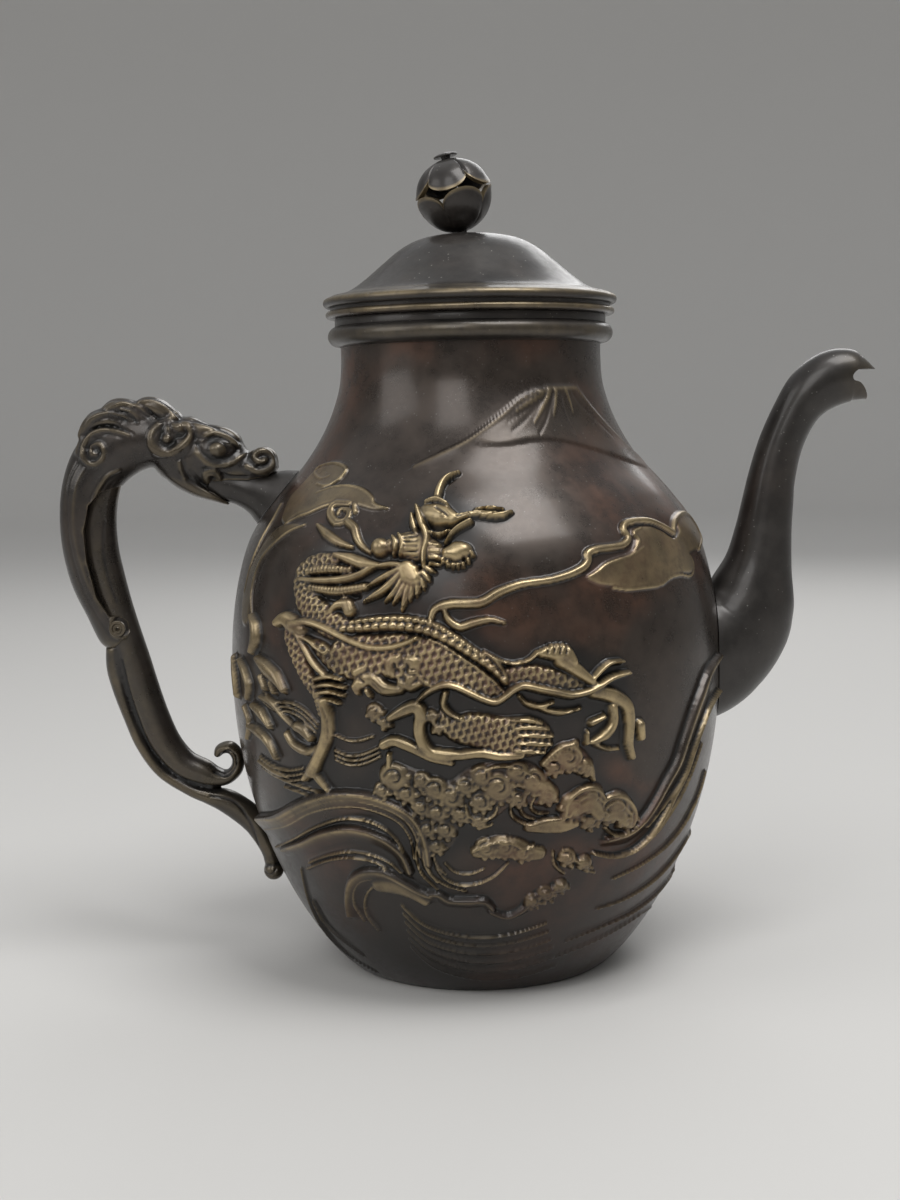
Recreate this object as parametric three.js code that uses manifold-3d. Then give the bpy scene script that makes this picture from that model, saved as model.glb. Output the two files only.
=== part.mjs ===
// A cast bronze ewer: a pear-shaped body with a gooseneck spout, a dragon handle
// and a loose lid with an openwork bud for a knob. Millimetres, +Z up, front at -Y.
import * as THREE from 'three';
import { mergeVertices } from 'three/addons/utils/BufferGeometryUtils.js';
import Module from 'manifold-3d';

const wasm = await Module();
wasm.setup();

// Driving sizes of the body
const bellyRadius = 82.4;
const bellyHeight = 100;
const footRadius = 44;
const footRingWidth = 3.5;
const neckRadius = 43.4;
const neckHeight = 204;
const neckTop = 214;
const bodyWall = 2.4;
const shoulderSplit = 0.635;
const plateThickness = 2.2;
const plateRecess = 1.6;
const plateLedge = 2.6;

// Driving sizes of the mouth ring and the lid
const seatProud = 1.8;
const seatHeight = 2.6;
const collarProud = 2.4;
const collarHeight = 6.6;
const collarOverlap = 6;
const seatRingProud = 3;
const seatRingHeight = 2.6;
const lidGrooveProud = 1.4;
const lidBeadProud = 3.8;
const lidBeadThickness = 3.2;
const lidGrooveHeight = 0.9;
const domeRise = 20.9;
const domeWall = 2.2;
const bezelDepth = 9;
const bezelWall = 1.8;
const bezelPlay = 0.6;

// Driving sizes of the bud on the lid
const budRadius = 12.4;
const budShell = 1.2;
const petals = 5;
const petalTip = 3.5;
const cuspDepth = 25;
const petalGap = 0.3;
const budLean = 12;
const budOffset = 2;
const pinRadius = 1.5;
const buttonRadius = 4;
const buttonHeight = 1.3;
const washerRadius = 5;
const washerThickness = 1.2;
const tailRadius = 2.7;
const tailHeight = 1.1;

// Driving sizes of the spout
const spoutReach = 53.6;
const spoutRise = 126;
const spoutRootHeight = 78;
const spoutWall = 1.8;
const pourHoleRadius = 14;
const beakHalfWidth = 15;

// Driving sizes of the handle
const handleReach = 57.6;
const handleRise = 162;
const handleFoot = 29;
const sheathPinRadius = 1.5;
const sheathPinHead = 2.8;
const sheathPinProud = 1.3;

// Clearances, softened corners and fineness
const gap = 0.3;
const collarRoom = 0.4;
const overshoot = 1;
const softCorner = 0.4;
const bezelLead = 0.8;
const bodyFacets = 48;
const ringFacets = 36;
const beadSteps = 4;
const flankSteps = 6;
const shoulderSteps = 8;
const barSteps = 32;
const tendrilSteps = 20;
const barSides = 8;
const lugSteps = 8;
const lugSides = 12;

const bronze = new THREE.MeshStandardMaterial({ color: 0x3d2f26, roughness: 0.38, metalness: 0.85 });
const darkBronze = new THREE.MeshStandardMaterial({ color: 0x37332f, roughness: 0.34, metalness: 0.85 });
const rubbedBronze = new THREE.MeshStandardMaterial({ color: 0x6d5b3f, roughness: 0.42, metalness: 0.85 });

// A closed geometry as a solid that can be cut and joined
function solid(geometry) {
  const bare = new THREE.BufferGeometry();
  bare.setAttribute('position', geometry.getAttribute('position').clone());
  if (geometry.index) bare.setIndex(geometry.index.clone());
  const merged = mergeVertices(bare, 1e-4);
  const corners = merged.index.array;
  const kept = [];
  for (let i = 0; i < corners.length; i += 3) {
    const [a, b, c] = [corners[i], corners[i + 1], corners[i + 2]];
    if (a !== b && b !== c && c !== a) kept.push(a, b, c);
  }
  const vertProperties = new Float32Array(merged.getAttribute('position').array);
  const triVerts = new Uint32Array(kept);
  return new wasm.Manifold(new wasm.Mesh({ numProp: 3, vertProperties, triVerts }));
}

function meshOf(name, shape, material) {
  const { vertProperties, triVerts } = shape.getMesh();
  const geometry = new THREE.BufferGeometry();
  geometry.setAttribute('position', new THREE.BufferAttribute(new Float32Array(vertProperties), 3));
  geometry.setIndex(new THREE.BufferAttribute(new Uint32Array(triVerts), 1));
  geometry.computeVertexNormals();
  const mesh = new THREE.Mesh(geometry, material);
  mesh.name = name;
  return mesh;
}

function joined(shapes) {
  return shapes.reduce((whole, shape) => whole.add(shape));
}

// A solid of revolution about Z from a closed outline of [radius, height] points
function turned(outline, facets) {
  const points = outline.map(([r, z]) => new THREE.Vector2(Math.max(r, 0), z));
  if (THREE.ShapeUtils.area(points) < 0) points.reverse();
  const onAxis = points.findIndex((p) => p.x === 0);
  if (onAxis >= 0) {
    while (points[0].x !== 0 || points[points.length - 1].x !== 0) points.push(points.shift());
  } else {
    points.push(points[0].clone());
  }
  const geometry = new THREE.LatheGeometry(points, facets);
  geometry.rotateX(Math.PI / 2);
  return solid(geometry);
}

function arc(centreR, centreZ, radius, from, to, steps) {
  return Array.from({ length: steps + 1 }, (_, i) => {
    const angle = THREE.MathUtils.degToRad(from + ((to - from) * i) / steps);
    return [centreR + radius * Math.cos(angle), centreZ + radius * Math.sin(angle)];
  });
}

// A cylinder along Z, or along Y when it lies across the handle
function rod(radius, from, to, facets = 20) {
  const geometry = new THREE.CylinderGeometry(radius, radius, to - from, facets);
  geometry.rotateX(Math.PI / 2);
  geometry.translate(0, 0, (from + to) / 2);
  return geometry;
}

function crossRod(x, z, radius, halfLength, facets = 20) {
  const geometry = new THREE.CylinderGeometry(radius, radius, 2 * halfLength, facets);
  geometry.translate(x, 0, z);
  return geometry;
}

function ball(x, y, z, rx, ry, rz, across = 10, up = 6) {
  const geometry = new THREE.SphereGeometry(1, across, up);
  geometry.scale(rx, ry, rz);
  geometry.translate(x, y, z);
  return solid(geometry);
}

// A side outline in the XZ plane, pushed out to both sides of Y
function slab(outline, halfWidth) {
  const shape = new THREE.Shape(outline.map(([x, z]) => new THREE.Vector2(x, z)));
  const geometry = new THREE.ExtrudeGeometry(shape, { depth: 2 * halfWidth, bevelEnabled: false });
  geometry.rotateX(Math.PI / 2);
  geometry.translate(0, halfWidth, 0);
  return solid(geometry);
}

// A closed skin over rings of points, with a fan over each end
function lofted(rings) {
  const sides = rings[0].length;
  const points = rings.flat();
  const triangles = [];
  for (let i = 0; i + 1 < rings.length; i++) {
    for (let k = 0; k < sides; k++) {
      const next = (k + 1) % sides;
      const [a, b] = [i * sides + k, (i + 1) * sides + k];
      const [c, d] = [(i + 1) * sides + next, i * sides + next];
      triangles.push(a, b, c, a, c, d);
    }
  }
  const last = (rings.length - 1) * sides;
  const ends = [rings[0], rings[rings.length - 1]].map((ring) => {
    const middle = new THREE.Vector3();
    ring.forEach((p) => middle.addScaledVector(p, 1 / sides));
    return points.push(middle) - 1;
  });
  for (let k = 0; k < sides; k++) {
    const next = (k + 1) % sides;
    triangles.push(ends[0], k, next);
    triangles.push(ends[1], last + next, last + k);
  }
  const geometry = new THREE.BufferGeometry().setFromPoints(points);
  geometry.setIndex(triangles);
  return geometry;
}

// A tube in the XZ plane; a station is [x, z, half-depth on the left, half-depth on the right, half-width]
function tube(stations, steps, sides, grow = 0) {
  const route = new THREE.CatmullRomCurve3(stations.map(([x, z]) => new THREE.Vector3(x, 0, z)));
  const girth = new THREE.CatmullRomCurve3(stations.map(([, , l, r, w]) => new THREE.Vector3(l, r, w)));
  for (const curve of [route, girth]) curve.curveType = 'catmullrom';
  const rings = [];
  for (let i = 0; i <= steps; i++) {
    const centre = route.getPoint(i / steps);
    const along = route.getTangent(i / steps);
    const left = new THREE.Vector3(-along.z, 0, along.x);
    const size = girth.getPoint(i / steps);
    rings.push(Array.from({ length: sides }, (_, k) => {
      const turn = (2 * Math.PI * k) / sides;
      const depth = Math.max(Math.cos(turn) > 0 ? size.x : size.y, 0.3) + grow;
      const point = centre.clone().addScaledVector(left, Math.cos(turn) * depth);
      point.y = Math.sin(turn) * (Math.max(size.z, 0.3) + grow);
      return point;
    }));
  }
  return solid(lofted(rings));
}

const round = (x, z, half, width = half) => [x, z, half, half, width];

// The body's outer outline: a flank that swells from foot to belly, then a shoulder drawn in to the neck
const shoulder = [
  [0.154, 0.985], [0.308, 0.92], [0.442, 0.803], [0.558, 0.587],
  [0.673, 0.32], [0.788, 0.133], [0.904, 0.023], [1, 0],
];
const flankSquareness = 0.81;
const flankCrowding = 1.5;
const outerPoints = [];
for (let i = 0; i <= flankSteps; i++) {
  const t = (i / flankSteps) ** flankCrowding;
  const swell = (1 - (1 - t) ** 2) ** flankSquareness;
  outerPoints.push([footRadius + (bellyRadius - footRadius) * swell, bellyHeight * t]);
}
const [firstShare, firstSwell] = shoulder[0];
const shoulderShares = [[-firstShare, firstSwell], [0, 1], ...shoulder];
const shoulderLine = new THREE.SplineCurve(shoulderShares.map(([t, swell]) => new THREE.Vector2(t, swell)));
for (let i = 1; i <= shoulderSteps; i++) {
  const share = (1 + (shoulder.length * i) / shoulderSteps) / (shoulder.length + 1);
  const { x: t, y: swell } = shoulderLine.getPoint(share);
  outerPoints.push([
    neckRadius + (bellyRadius - neckRadius) * swell,
    bellyHeight + (neckHeight - bellyHeight) * t,
  ]);
}

// The outline moved square to itself by a distance, outward where it is positive
function offsetOutline(points, distance) {
  return points.map(([r, z], i) => {
    const before = points[Math.max(i - 1, 0)];
    const after = points[Math.min(i + 1, points.length - 1)];
    const run = new THREE.Vector2(after[0] - before[0], after[1] - before[1]).normalize();
    return [r + run.y * distance, z - run.x * distance];
  });
}

// The body's outer radius at a height
function skin(height) {
  const above = Math.max(outerPoints.findIndex(([, z]) => z >= height), 1);
  const [[r0, z0], [r1, z1]] = [outerPoints[above - 1], outerPoints[above]];
  return r0 + ((r1 - r0) * (height - z0)) / (z1 - z0);
}

const bodySkin = turned([
  [0, -gap], ...offsetOutline(outerPoints, gap), [neckRadius + gap, neckTop], [0, neckTop],
], bodyFacets);

// The spout follows the height of its root and its own reach and rise
const sx = (u) => bellyRadius + u * spoutReach;
const sz = (v) => spoutRootHeight + v * spoutRise;
const spoutStations = [
  [sx(-0.33), sz(0.19), 25, 26, 20],
  [sx(-0.1), sz(0.21), 23.4, 23.8, 18.5],
  [sx(0.04), sz(0.24), 20.4, 20.8, 16.5],
  [sx(0.142), sz(0.282), 17.6, 18.2, 14.8],
  [sx(0.198), sz(0.33), 15.6, 16.2, 13.4],
  [sx(0.231), sz(0.377), 13.9, 14.3, 12.2],
  [sx(0.268), sz(0.444), 11.2, 11.3, 10.6],
  [sx(0.299), sz(0.528), 9.5, 9.5, 9.4],
  [sx(0.325), sz(0.603), 8.6, 8.6, 8.7],
  [sx(0.349), sz(0.667), 7.9, 7.9, 8.2],
  [sx(0.405), sz(0.756), 7.4, 7.4, 7.7],
  [sx(0.493), sz(0.837), 7.5, 7.5, 7.6],
  [sx(0.59), sz(0.892), 8.6, 8.6, 8],
  [sx(0.707), sz(0.925), 9.4, 9.3, 8.2],
  [sx(0.815), sz(0.937), 8.9, 9.1, 7.8],
  [sx(0.888), sz(0.937), 7.2, 8.4, 6.9],
  [sx(0.944), sz(0.937), 4.7, 8.2, 5],
  [sx(1), sz(0.937), 1.7, 8.2, 1.8],
];
const beak = [
  [1.02, 0.9505], [0.9, 0.952], [0.86, 0.949], [0.83, 0.936], [0.837, 0.923],
  [0.88, 0.916], [0.922, 0.895], [0.942, 0.868], [0.95, 0.8], [1.2, 0.8], [1.2, 0.9505],
];

function spoutShape() {
  const outside = tube(spoutStations, 24, 16);
  const inside = tube([[sx(-0.6), sz(0.17), 26, 27, 21], ...spoutStations], 18, 12, -spoutWall);
  const mouth = slab(beak.map(([u, v]) => [sx(u), sz(v)]), beakHalfWidth);
  return outside.subtract(inside).subtract(mouth).subtract(bodySkin);
}

// The body is cast open below; a plate closes it from underneath against a ledge
const plateRadius = footRadius - footRingWidth;
const plateTop = plateRecess + plateThickness;
const ledgeTop = plateTop + gap + plateLedge;
const ledgeRadius = plateRadius - plateLedge;

function castBody() {
  const inner = offsetOutline(outerPoints, -bodyWall).filter(([, z]) => z > ledgeTop + overshoot);
  const neckInside = neckRadius - bodyWall;
  const outline = [
    ...outerPoints, [neckRadius, neckTop], [neckInside, neckTop],
    ...inner.slice().reverse(),
    [ledgeRadius, ledgeTop], [ledgeRadius, plateTop + gap], [plateRadius, plateTop + gap], [plateRadius, 0],
  ];
  const pourHole = rod(pourHoleRadius, 0, 2 * bellyRadius);
  pourHole.rotateY(Math.PI / 2);
  pourHole.translate(0, 0, sz(0.215));
  return turned(outline, bodyFacets).subtract(solid(pourHole));
}

// The main forms of the cast relief, with few faces; the fine chasing is left out. A place is its angle
// from the spout in degrees, and its height as drawn on a body with the belly at 100 and the neck at 204
const drawnBelly = 100;
const drawnNeck = 204;
const reliefSink = 1;
const ridgeTop = 0.5;
const ridgeEnd = 0.5;
const dragonRelief = [
  {
    half: 5.5,
    proud: 2.4,
    route: [[-109, 144], [-119, 141], [-130, 139], [-136, 130], [-130, 121], [-120, 116]],
  },
  { half: 12, proud: 2.6, route: [[-130, 118], [-115, 117], [-103, 114], [-91, 107], [-80, 98]] },
  { half: 7, proud: 2.4, route: [[-84, 104], [-73, 107], [-62, 101]] },
  { half: 7.5, proud: 2.8, route: [[-114, 148], [-107, 143], [-101, 132]] },
  { half: 5, proud: 2.8, route: [[-107, 148], [-101, 154], [-94, 151]] },
  { half: 2.2, proud: 2, route: [[-97, 154], [-82, 154]] },
  { half: 2.2, proud: 2, route: [[-100, 156], [-95, 164]] },
  { half: 4.5, proud: 2, route: [[-96, 144], [-89, 143]] },
  { half: 4.4, proud: 2.6, route: [[-136, 122], [-129, 109], [-125, 97], [-123, 87], [-127, 76]] },
  { half: 7.5, proud: 2.4, route: [[-98, 94], [-88, 91], [-75, 87]] },
  { half: 2.8, proud: 3, route: [[-111, 89], [-103, 85], [-94, 82], [-82, 83]] },
  { half: 2.8, proud: 2.8, route: [[-107, 94], [-102, 98], [-101, 87]] },
  { half: 3, proud: 2.6, route: [[-66, 101], [-58, 97], [-55, 81]] },
  { half: 2.4, proud: 2.8, route: [[-101, 103], [-97, 106], [-93, 101], [-86, 100], [-76, 103], [-62, 102]] },
  { half: 4.5, proud: 3, route: [[-114, 107], [-110, 103], [-104, 103], [-103, 112]] },
  { half: 6, proud: 2.4, route: [[-127, 134], [-113, 133], [-104, 134]] },
];
const cloudRelief = [
  { half: 2.8, proud: 1.8, route: [[-99, 125], [-94, 129], [-81, 134], [-69, 138], [-61, 144]] },
  { half: 8, proud: 1.3, route: [[-61, 138], [-48, 141], [-34, 144], [-23, 143]] },
  { half: 5.5, proud: 1, route: [[-150, 153], [-136, 159], [-121, 160]] },
  { half: 9, proud: 1.5, route: [[34, 142], [52, 150], [72, 141]] },
  { half: 9, proud: 1.5, route: [[76, 120], [96, 128], [116, 119]] },
  { half: 9, proud: 1.5, route: [[118, 140], [138, 148], [158, 140]] },
];
const seaRelief = [
  {
    half: 4.5,
    proud: 2.4,
    route: [[-163, 51], [-149, 57], [-136, 62], [-121, 69], [-110, 66], [-104, 61], [-102, 50]],
  },
  { half: 3.5, proud: 2, route: [[-149, 46], [-129, 56], [-116, 57], [-108, 50]] },
  {
    half: 4,
    proud: 2.2,
    route: [[-129, 29], [-125, 41], [-114, 44], [-102, 38], [-88, 34], [-79, 35], [-70, 40]],
  },
  { half: 4, proud: 2.4, route: [[-23, 104], [-31, 96], [-38, 83], [-43, 70], [-50, 59], [-62, 54]] },
  { half: 6, proud: 2.4, route: [[-111, 79], [-104, 76], [-96, 72], [-88, 69]] },
  { half: 7, proud: 2.4, route: [[-93, 80], [-84, 74], [-75, 76], [-68, 82]] },
  { half: 6, proud: 2.6, route: [[-70, 66], [-61, 67], [-51, 61]] },
  { half: 7, proud: 2.4, route: [[-93, 54], [-84, 58], [-72, 58]] },
  { half: 3.6, proud: 2.2, route: [[-149, 119], [-144, 108], [-137, 99]] },
  { half: 3.6, proud: 2.2, route: [[-156, 99], [-149, 92], [-145, 82]] },
  { half: 3.2, proud: 2.2, route: [[-145, 93], [-137, 86], [-129, 83]] },
];
const backWaves = [[8, 62], [38, 74], [70, 60], [102, 78], [136, 64], [166, 76]];
const backWave = [[-20, -26], [-10, -8], [2, 0], [12, -9]];
const backWaveHalf = 4;
const backWaveProud = 2.2;

function onBody(height) {
  if (height <= drawnBelly) return (height * bellyHeight) / drawnBelly;
  return bellyHeight + ((height - drawnBelly) * (neckHeight - bellyHeight)) / (drawnNeck - drawnBelly);
}

// A point at an angle and a height, raised square to the skin
function onSkin(angle, height, proud) {
  const lean = (skin(height + 1) - skin(height - 1)) / 2;
  const turn = THREE.MathUtils.degToRad(angle);
  const out = new THREE.Vector3(Math.cos(turn), Math.sin(turn), -lean).normalize();
  const radius = skin(height);
  const place = new THREE.Vector3(radius * Math.cos(turn), radius * Math.sin(turn), height);
  return place.addScaledVector(out, proud);
}

// A flat-topped ridge with tapered ends that follows its route over the skin
function ridge({ route, half, proud }) {
  const places = route.map(([angle, height]) => [angle, onBody(height)]);
  const last = places.length - 1;
  return solid(lofted(places.map(([angle, height], i) => {
    const [fromAngle, fromHeight] = places[Math.max(i - 1, 0)];
    const [toAngle, toHeight] = places[Math.min(i + 1, last)];
    const radius = skin(height);
    const across = THREE.MathUtils.degToRad(toAngle - fromAngle) * radius;
    const along = new THREE.Vector2(across, toHeight - fromHeight).normalize();
    const size = i === 0 || i === last ? ridgeEnd : 1;
    const beside = (width, rise) => {
      const turn = THREE.MathUtils.radToDeg((along.y * width) / radius);
      return onSkin(angle - turn, height + along.x * width, rise);
    };
    const foot = half * size;
    const top = foot * ridgeTop;
    return [
      beside(-foot, -reliefSink), beside(-top, proud * size),
      beside(top, proud * size), beside(foot, -reliefSink),
    ];
  })));
}

function reliefShape() {
  const behind = backWaves.map(([angle, height]) => ({
    half: backWaveHalf,
    proud: backWaveProud,
    route: backWave.map(([turn, rise]) => [angle + turn, height + rise]),
  }));
  return joined([...dragonRelief, ...cloudRelief, ...seaRelief, ...behind].map(ridge));
}

// The one casting stands as two nodes, flank below and neck above, so that each keeps its hollow open
const shoulderCut = bellyHeight + (neckHeight - bellyHeight) * shoulderSplit;
const castWhole = castBody().add(reliefShape());
const aboveCut = turned([
  [0, shoulderCut], [bellyRadius, shoulderCut], [bellyRadius, neckTop + overshoot], [0, neckTop + overshoot],
], bodyFacets);

function plateShape() {
  const edge = plateRadius - gap;
  return turned([[0, plateRecess], [edge, plateRecess], [edge, plateTop], [0, plateTop]], ringFacets);
}

// The mouth ring slips over the neck and carries the seat of the lid
const collarTop = neckTop + gap + collarRoom;
const lidSeat = collarTop + seatHeight;
const seatRadius = neckRadius + seatProud;
const collarRadius = seatRadius + collarProud;
const mouthRadius = neckRadius - bodyWall;

function mouthRingShape() {
  const collarFoot = collarTop - collarHeight;
  const bead = collarHeight / 2;
  const sleeve = neckRadius + gap;
  return turned([
    [sleeve, neckTop - collarOverlap],
    ...arc(collarRadius - bead, collarFoot + bead, bead, -80, 80, beadSteps),
    [seatRadius, collarTop], [seatRadius, lidSeat - softCorner], [seatRadius - softCorner, lidSeat],
    [mouthRadius, lidSeat], [mouthRadius, neckTop + gap], [sleeve, neckTop + gap],
  ], ringFacets);
}

// The lid stands in its own group, whose origin is at the seat on the axis
const domeFoot = seatRingHeight;
const bezelRadius = mouthRadius - bezelPlay;
const seatRingRadius = seatRadius + seatRingProud;
const lidGrooveRadius = seatRadius + lidGrooveProud;
const lidBeadRadius = seatRadius + lidBeadProud;

function seatRingShape() {
  const bead = seatRingHeight / 2 - 0.1;
  return turned([
    [bezelRadius + gap, 0], [seatRingRadius - bead, 0],
    ...arc(seatRingRadius - bead, bead, bead, -80, 80, beadSteps),
    [lidGrooveRadius, 2 * bead], [lidGrooveRadius, domeFoot], [bezelRadius + gap, domeFoot],
  ], ringFacets);
}

function bezelShape() {
  const inside = bezelRadius - bezelWall;
  return turned([
    [bezelRadius, -bezelDepth + bezelLead], [bezelRadius, domeFoot], [inside, domeFoot],
    [inside, -bezelDepth], [bezelRadius - bezelLead, -bezelDepth],
  ], ringFacets);
}

// The dome: an ogee that flares out to the bead at its edge; shares of the bead radius and of the rise
const ogee = [
  [0.94, 0.035], [0.83, 0.105], [0.72, 0.275], [0.6, 0.51], [0.47, 0.755],
  [0.35, 0.9], [0.22, 0.97], [0.1, 0.995], [0, 1],
];
const domeBase = domeFoot + lidGrooveHeight;
const domeBeadTop = domeBase + lidBeadThickness;
const domeTop = domeBeadTop + domeRise;

function domeShape() {
  const bead = lidBeadThickness / 2;
  const outer = ogee.map(([r, z]) => [r * lidBeadRadius, domeBeadTop + domeRise * z]);
  const inner = offsetOutline(outer.slice().reverse(), domeWall)
    .filter(([r]) => r > 0 && r < bezelRadius - bezelWall);
  const outline = [
    [lidGrooveRadius, domeFoot], [lidGrooveRadius, domeBase],
    ...arc(lidBeadRadius - bead, domeBase + bead, bead, -75, 75, beadSteps),
    ...outer, [0, domeTop - domeWall], ...inner, [bezelRadius - bezelWall, domeFoot],
  ];
  const hole = rod(pinRadius + gap, -2 * budRadius, 0);
  hole.applyMatrix4(budPlace());
  return turned(outline, ringFacets).subtract(solid(hole));
}

// The bud leans; its group's origin is its centre and its own Z is its axis
const budHeight = domeTop + gap + budRadius;
const lean = THREE.MathUtils.degToRad(budLean);

function budPlace() {
  const reach = budOffset + budRadius * Math.sin(lean);
  return new THREE.Matrix4().makeRotationY(-lean).setPosition(-reach, 0, budHeight);
}

// A cap of the bud, from a hole round its pole to its rounded petals; up is 1 for the crown, -1 for the cup
function petalCap(up, tipLatitude) {
  const perPetal = 8;
  const around = petals * perPetal;
  const downSteps = 4;
  const pole = 90 - THREE.MathUtils.radToDeg(Math.asin((pinRadius + gap) / (budRadius - budShell)));
  const rings = [];
  const edge = (k) => {
    const share = Math.abs(((k % perPetal) / perPetal) * 2 - 1);
    return tipLatitude + cuspDepth * (1 - Math.sqrt(Math.max(1 - share ** 2, 0)));
  };
  const ring = (radius, step) => Array.from({ length: around }, (_, k) => {
    const latitude = THREE.MathUtils.degToRad(pole + (edge(k) - pole) * (step / downSteps));
    const turn = (2 * Math.PI * (k + perPetal / 2)) / around;
    const flat = radius * Math.cos(latitude);
    const height = up * radius * Math.sin(latitude);
    return new THREE.Vector3(-flat * Math.sin(turn), flat * Math.cos(turn) * up, height);
  });
  for (let s = 0; s <= downSteps; s++) rings.push(ring(budRadius, s));
  for (let s = downSteps; s >= 0; s--) rings.push(ring(budRadius - budShell, s));
  const points = rings.flat();
  const triangles = [];
  for (let i = 0; i < rings.length; i++) {
    const j = (i + 1) % rings.length;
    for (let k = 0; k < around; k++) {
      const next = (k + 1) % around;
      const [a, b, c, d] = [i * around + k, j * around + k, j * around + next, i * around + next];
      triangles.push(a, b, c, a, c, d);
    }
  }
  const geometry = new THREE.BufferGeometry().setFromPoints(points);
  geometry.setIndex(triangles);
  return solid(geometry);
}

function budPinShape() {
  const head = budRadius + gap;
  const tail = domeTop - domeWall - budHeight - washerThickness - 3 * gap;
  const low = tail / Math.cos(lean) - gap;
  const swell = Array.from({ length: 5 }, (_, i) => [
    buttonRadius * Math.cos((i * Math.PI) / 8),
    head + buttonHeight * (0.3 + 0.7 * Math.sin((i * Math.PI) / 8)),
  ]);
  swell[4][0] = 0;
  return turned([
    [0, low - tailHeight], [tailRadius - softCorner, low - tailHeight],
    [tailRadius, low - tailHeight + softCorner], [tailRadius, low],
    [pinRadius, low], [pinRadius, head], [buttonRadius, head], ...swell,
  ], 20);
}

function budWasherShape() {
  const top = domeTop - domeWall - gap;
  const disc = rod(washerRadius, top - washerThickness, top, 24);
  disc.translate(-budOffset, 0, 0);
  const bore = rod(pinRadius + gap, -2.5 * budRadius, 0);
  bore.applyMatrix4(budPlace());
  return solid(disc).subtract(solid(bore));
}

// The handle is set out from the belly and from its foot, as drawn at this reach and rise. The lug
// leaves the shoulder at lugUp, and the handle leans only above straightUp
const drawn = {
  reach: 57.6, rise: 162, lugUp: 130.8, lugIn: 17.65, headOut: 17.6, headRise: 16.2, straightUp: 50,
  curlUp: 38.6, curlOff: 6.87,
};
const onRise = (up) => handleFoot + (up * handleRise) / drawn.rise;

// How much further out than drawn the shoulder stands where the lug leaves it; the handle leans out with it
const fullness = skin(onRise(drawn.lugUp)) - bellyRadius + drawn.lugIn;
const onHandle = (out, up) => {
  const lean = fullness * Math.max((up - drawn.straightUp) / (drawn.lugUp - drawn.straightUp), 0);
  return [-(bellyRadius + lean + (out * handleReach) / drawn.reach), onRise(up)];
};
const onFlank = (height, off) => [-(skin(height) + off), height];

// The head and the inner curl keep their own proportions and go where the handle and the flank carry them
const headPlace = onHandle(drawn.headOut, drawn.lugUp + drawn.headRise);
const onHead = (x, z) => [headPlace[0] + x, headPlace[1] + z];
const curlPlace = onFlank(onRise(drawn.curlUp), drawn.curlOff);
const onCurl = (x, z) => [curlPlace[0] + x, curlPlace[1] + z];

// The neck and sheath of the upper casting, from the skull over the arch and down the back
const neckStations = [
  [...onHead(4, -0.5), 10, 10, 9.5],
  [...onHead(-4, 2), 9.4, 9.6, 9.6],
  [...onHead(-10.5, 2.6), 10, 10.6, 9.2],
  [...onHead(-18, 0.5), 10.6, 11, 8.8],
  [...onHead(-25, -5.7), 10, 10.6, 8.6],
  [...onHandle(46.8, 133), 9.2, 9.6, 8.4],
  [...onHandle(47.9, 123.5), 9.3, 9.6, 8.2],
  [...onHandle(47.3, 113), 9.3, 9.6, 8],
  [...onHandle(45.2, 102.5), 9, 9.2, 7.8],
  [...onHandle(42, 92.5), 8, 7.9, 7.6],
  [...onHandle(38.8, 83.5), 7.2, 7, 7.2],
  [...onHandle(37.5, 80), 4.8, 4.6, 5],
];

// The bar that the sheath clasps, ending in the inner curl
const barStations = [
  round(...onHandle(40.4, 136.4), 4.6, 4.4),
  round(...onHandle(43.2, 129.4), 5.6, 5.4),
  round(...onHandle(44.6, 121), 6.2, 5.8),
  round(...onHandle(44.2, 112), 6.3, 6),
  round(...onHandle(42.2, 102.5), 6.1, 6),
  round(...onHandle(39.6, 93), 5.7, 6),
  round(...onHandle(37, 84), 5.6, 6),
  round(...onHandle(34, 74), 5.6, 6),
  round(...onHandle(31.2, 64), 5.6, 6),
  round(...onHandle(28, 54), 5.6, 5.9),
  round(...onHandle(23.8, 45), 5.3, 5.8),
  round(...onHandle(18.2, 38.4), 5, 5.7),
  round(...onHandle(11.6, 35.2), 4.6, 5.6),
  round(...onCurl(-4, -5), 3.4, 5.4),
  round(...onCurl(0, -5), 2.4, 5.2),
  round(...onCurl(3, -2.2), 2.2, 5),
  round(...onCurl(3.5, 2), 2.1, 4.8),
  round(...onCurl(1, 5.2), 2, 4.6),
  round(...onCurl(-2.4, 4.6), 1.8, 4.4),
  round(...onCurl(-3.6, 2.4), 1.2, 4),
];

// The outer tendril, which parts from the bar and runs down the flank of the body
const tendrilStations = [
  round(...onHandle(39.2, 79), 4.4, 4.8),
  round(...onHandle(40, 72), 3.6, 4.6),
  round(...onHandle(38.9, 64.4), 2.8, 4.4),
  round(...onHandle(36.2, 55.5), 2.4, 4.2),
  round(...onHandle(32.2, 45.2), 2.3, 4.2),
  round(...onHandle(25.8, 36), 2.3, 4.3),
  round(...onHandle(16.4, 29.8), 2.5, 4.6),
  round(...onHandle(9.8, 27.2), 3.1, 5),
  round(...onHandle(3.2, 24.6), 4.2, 5.2),
  round(...onFlank(handleFoot + 19, 4.4), 4.4, 5.2),
  round(...onFlank(handleFoot + 13, 2.9), 3.5, 4.8),
  round(...onFlank(handleFoot + 7.5, 2.7), 3, 4.2),
  round(...onFlank(handleFoot + 3.6, 3.8), 2.7, 3.8),
];
const tendrilCurl = { up: 0.6, out: 4.8, radius: 3.3, halfWidth: 3.6 };

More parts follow.
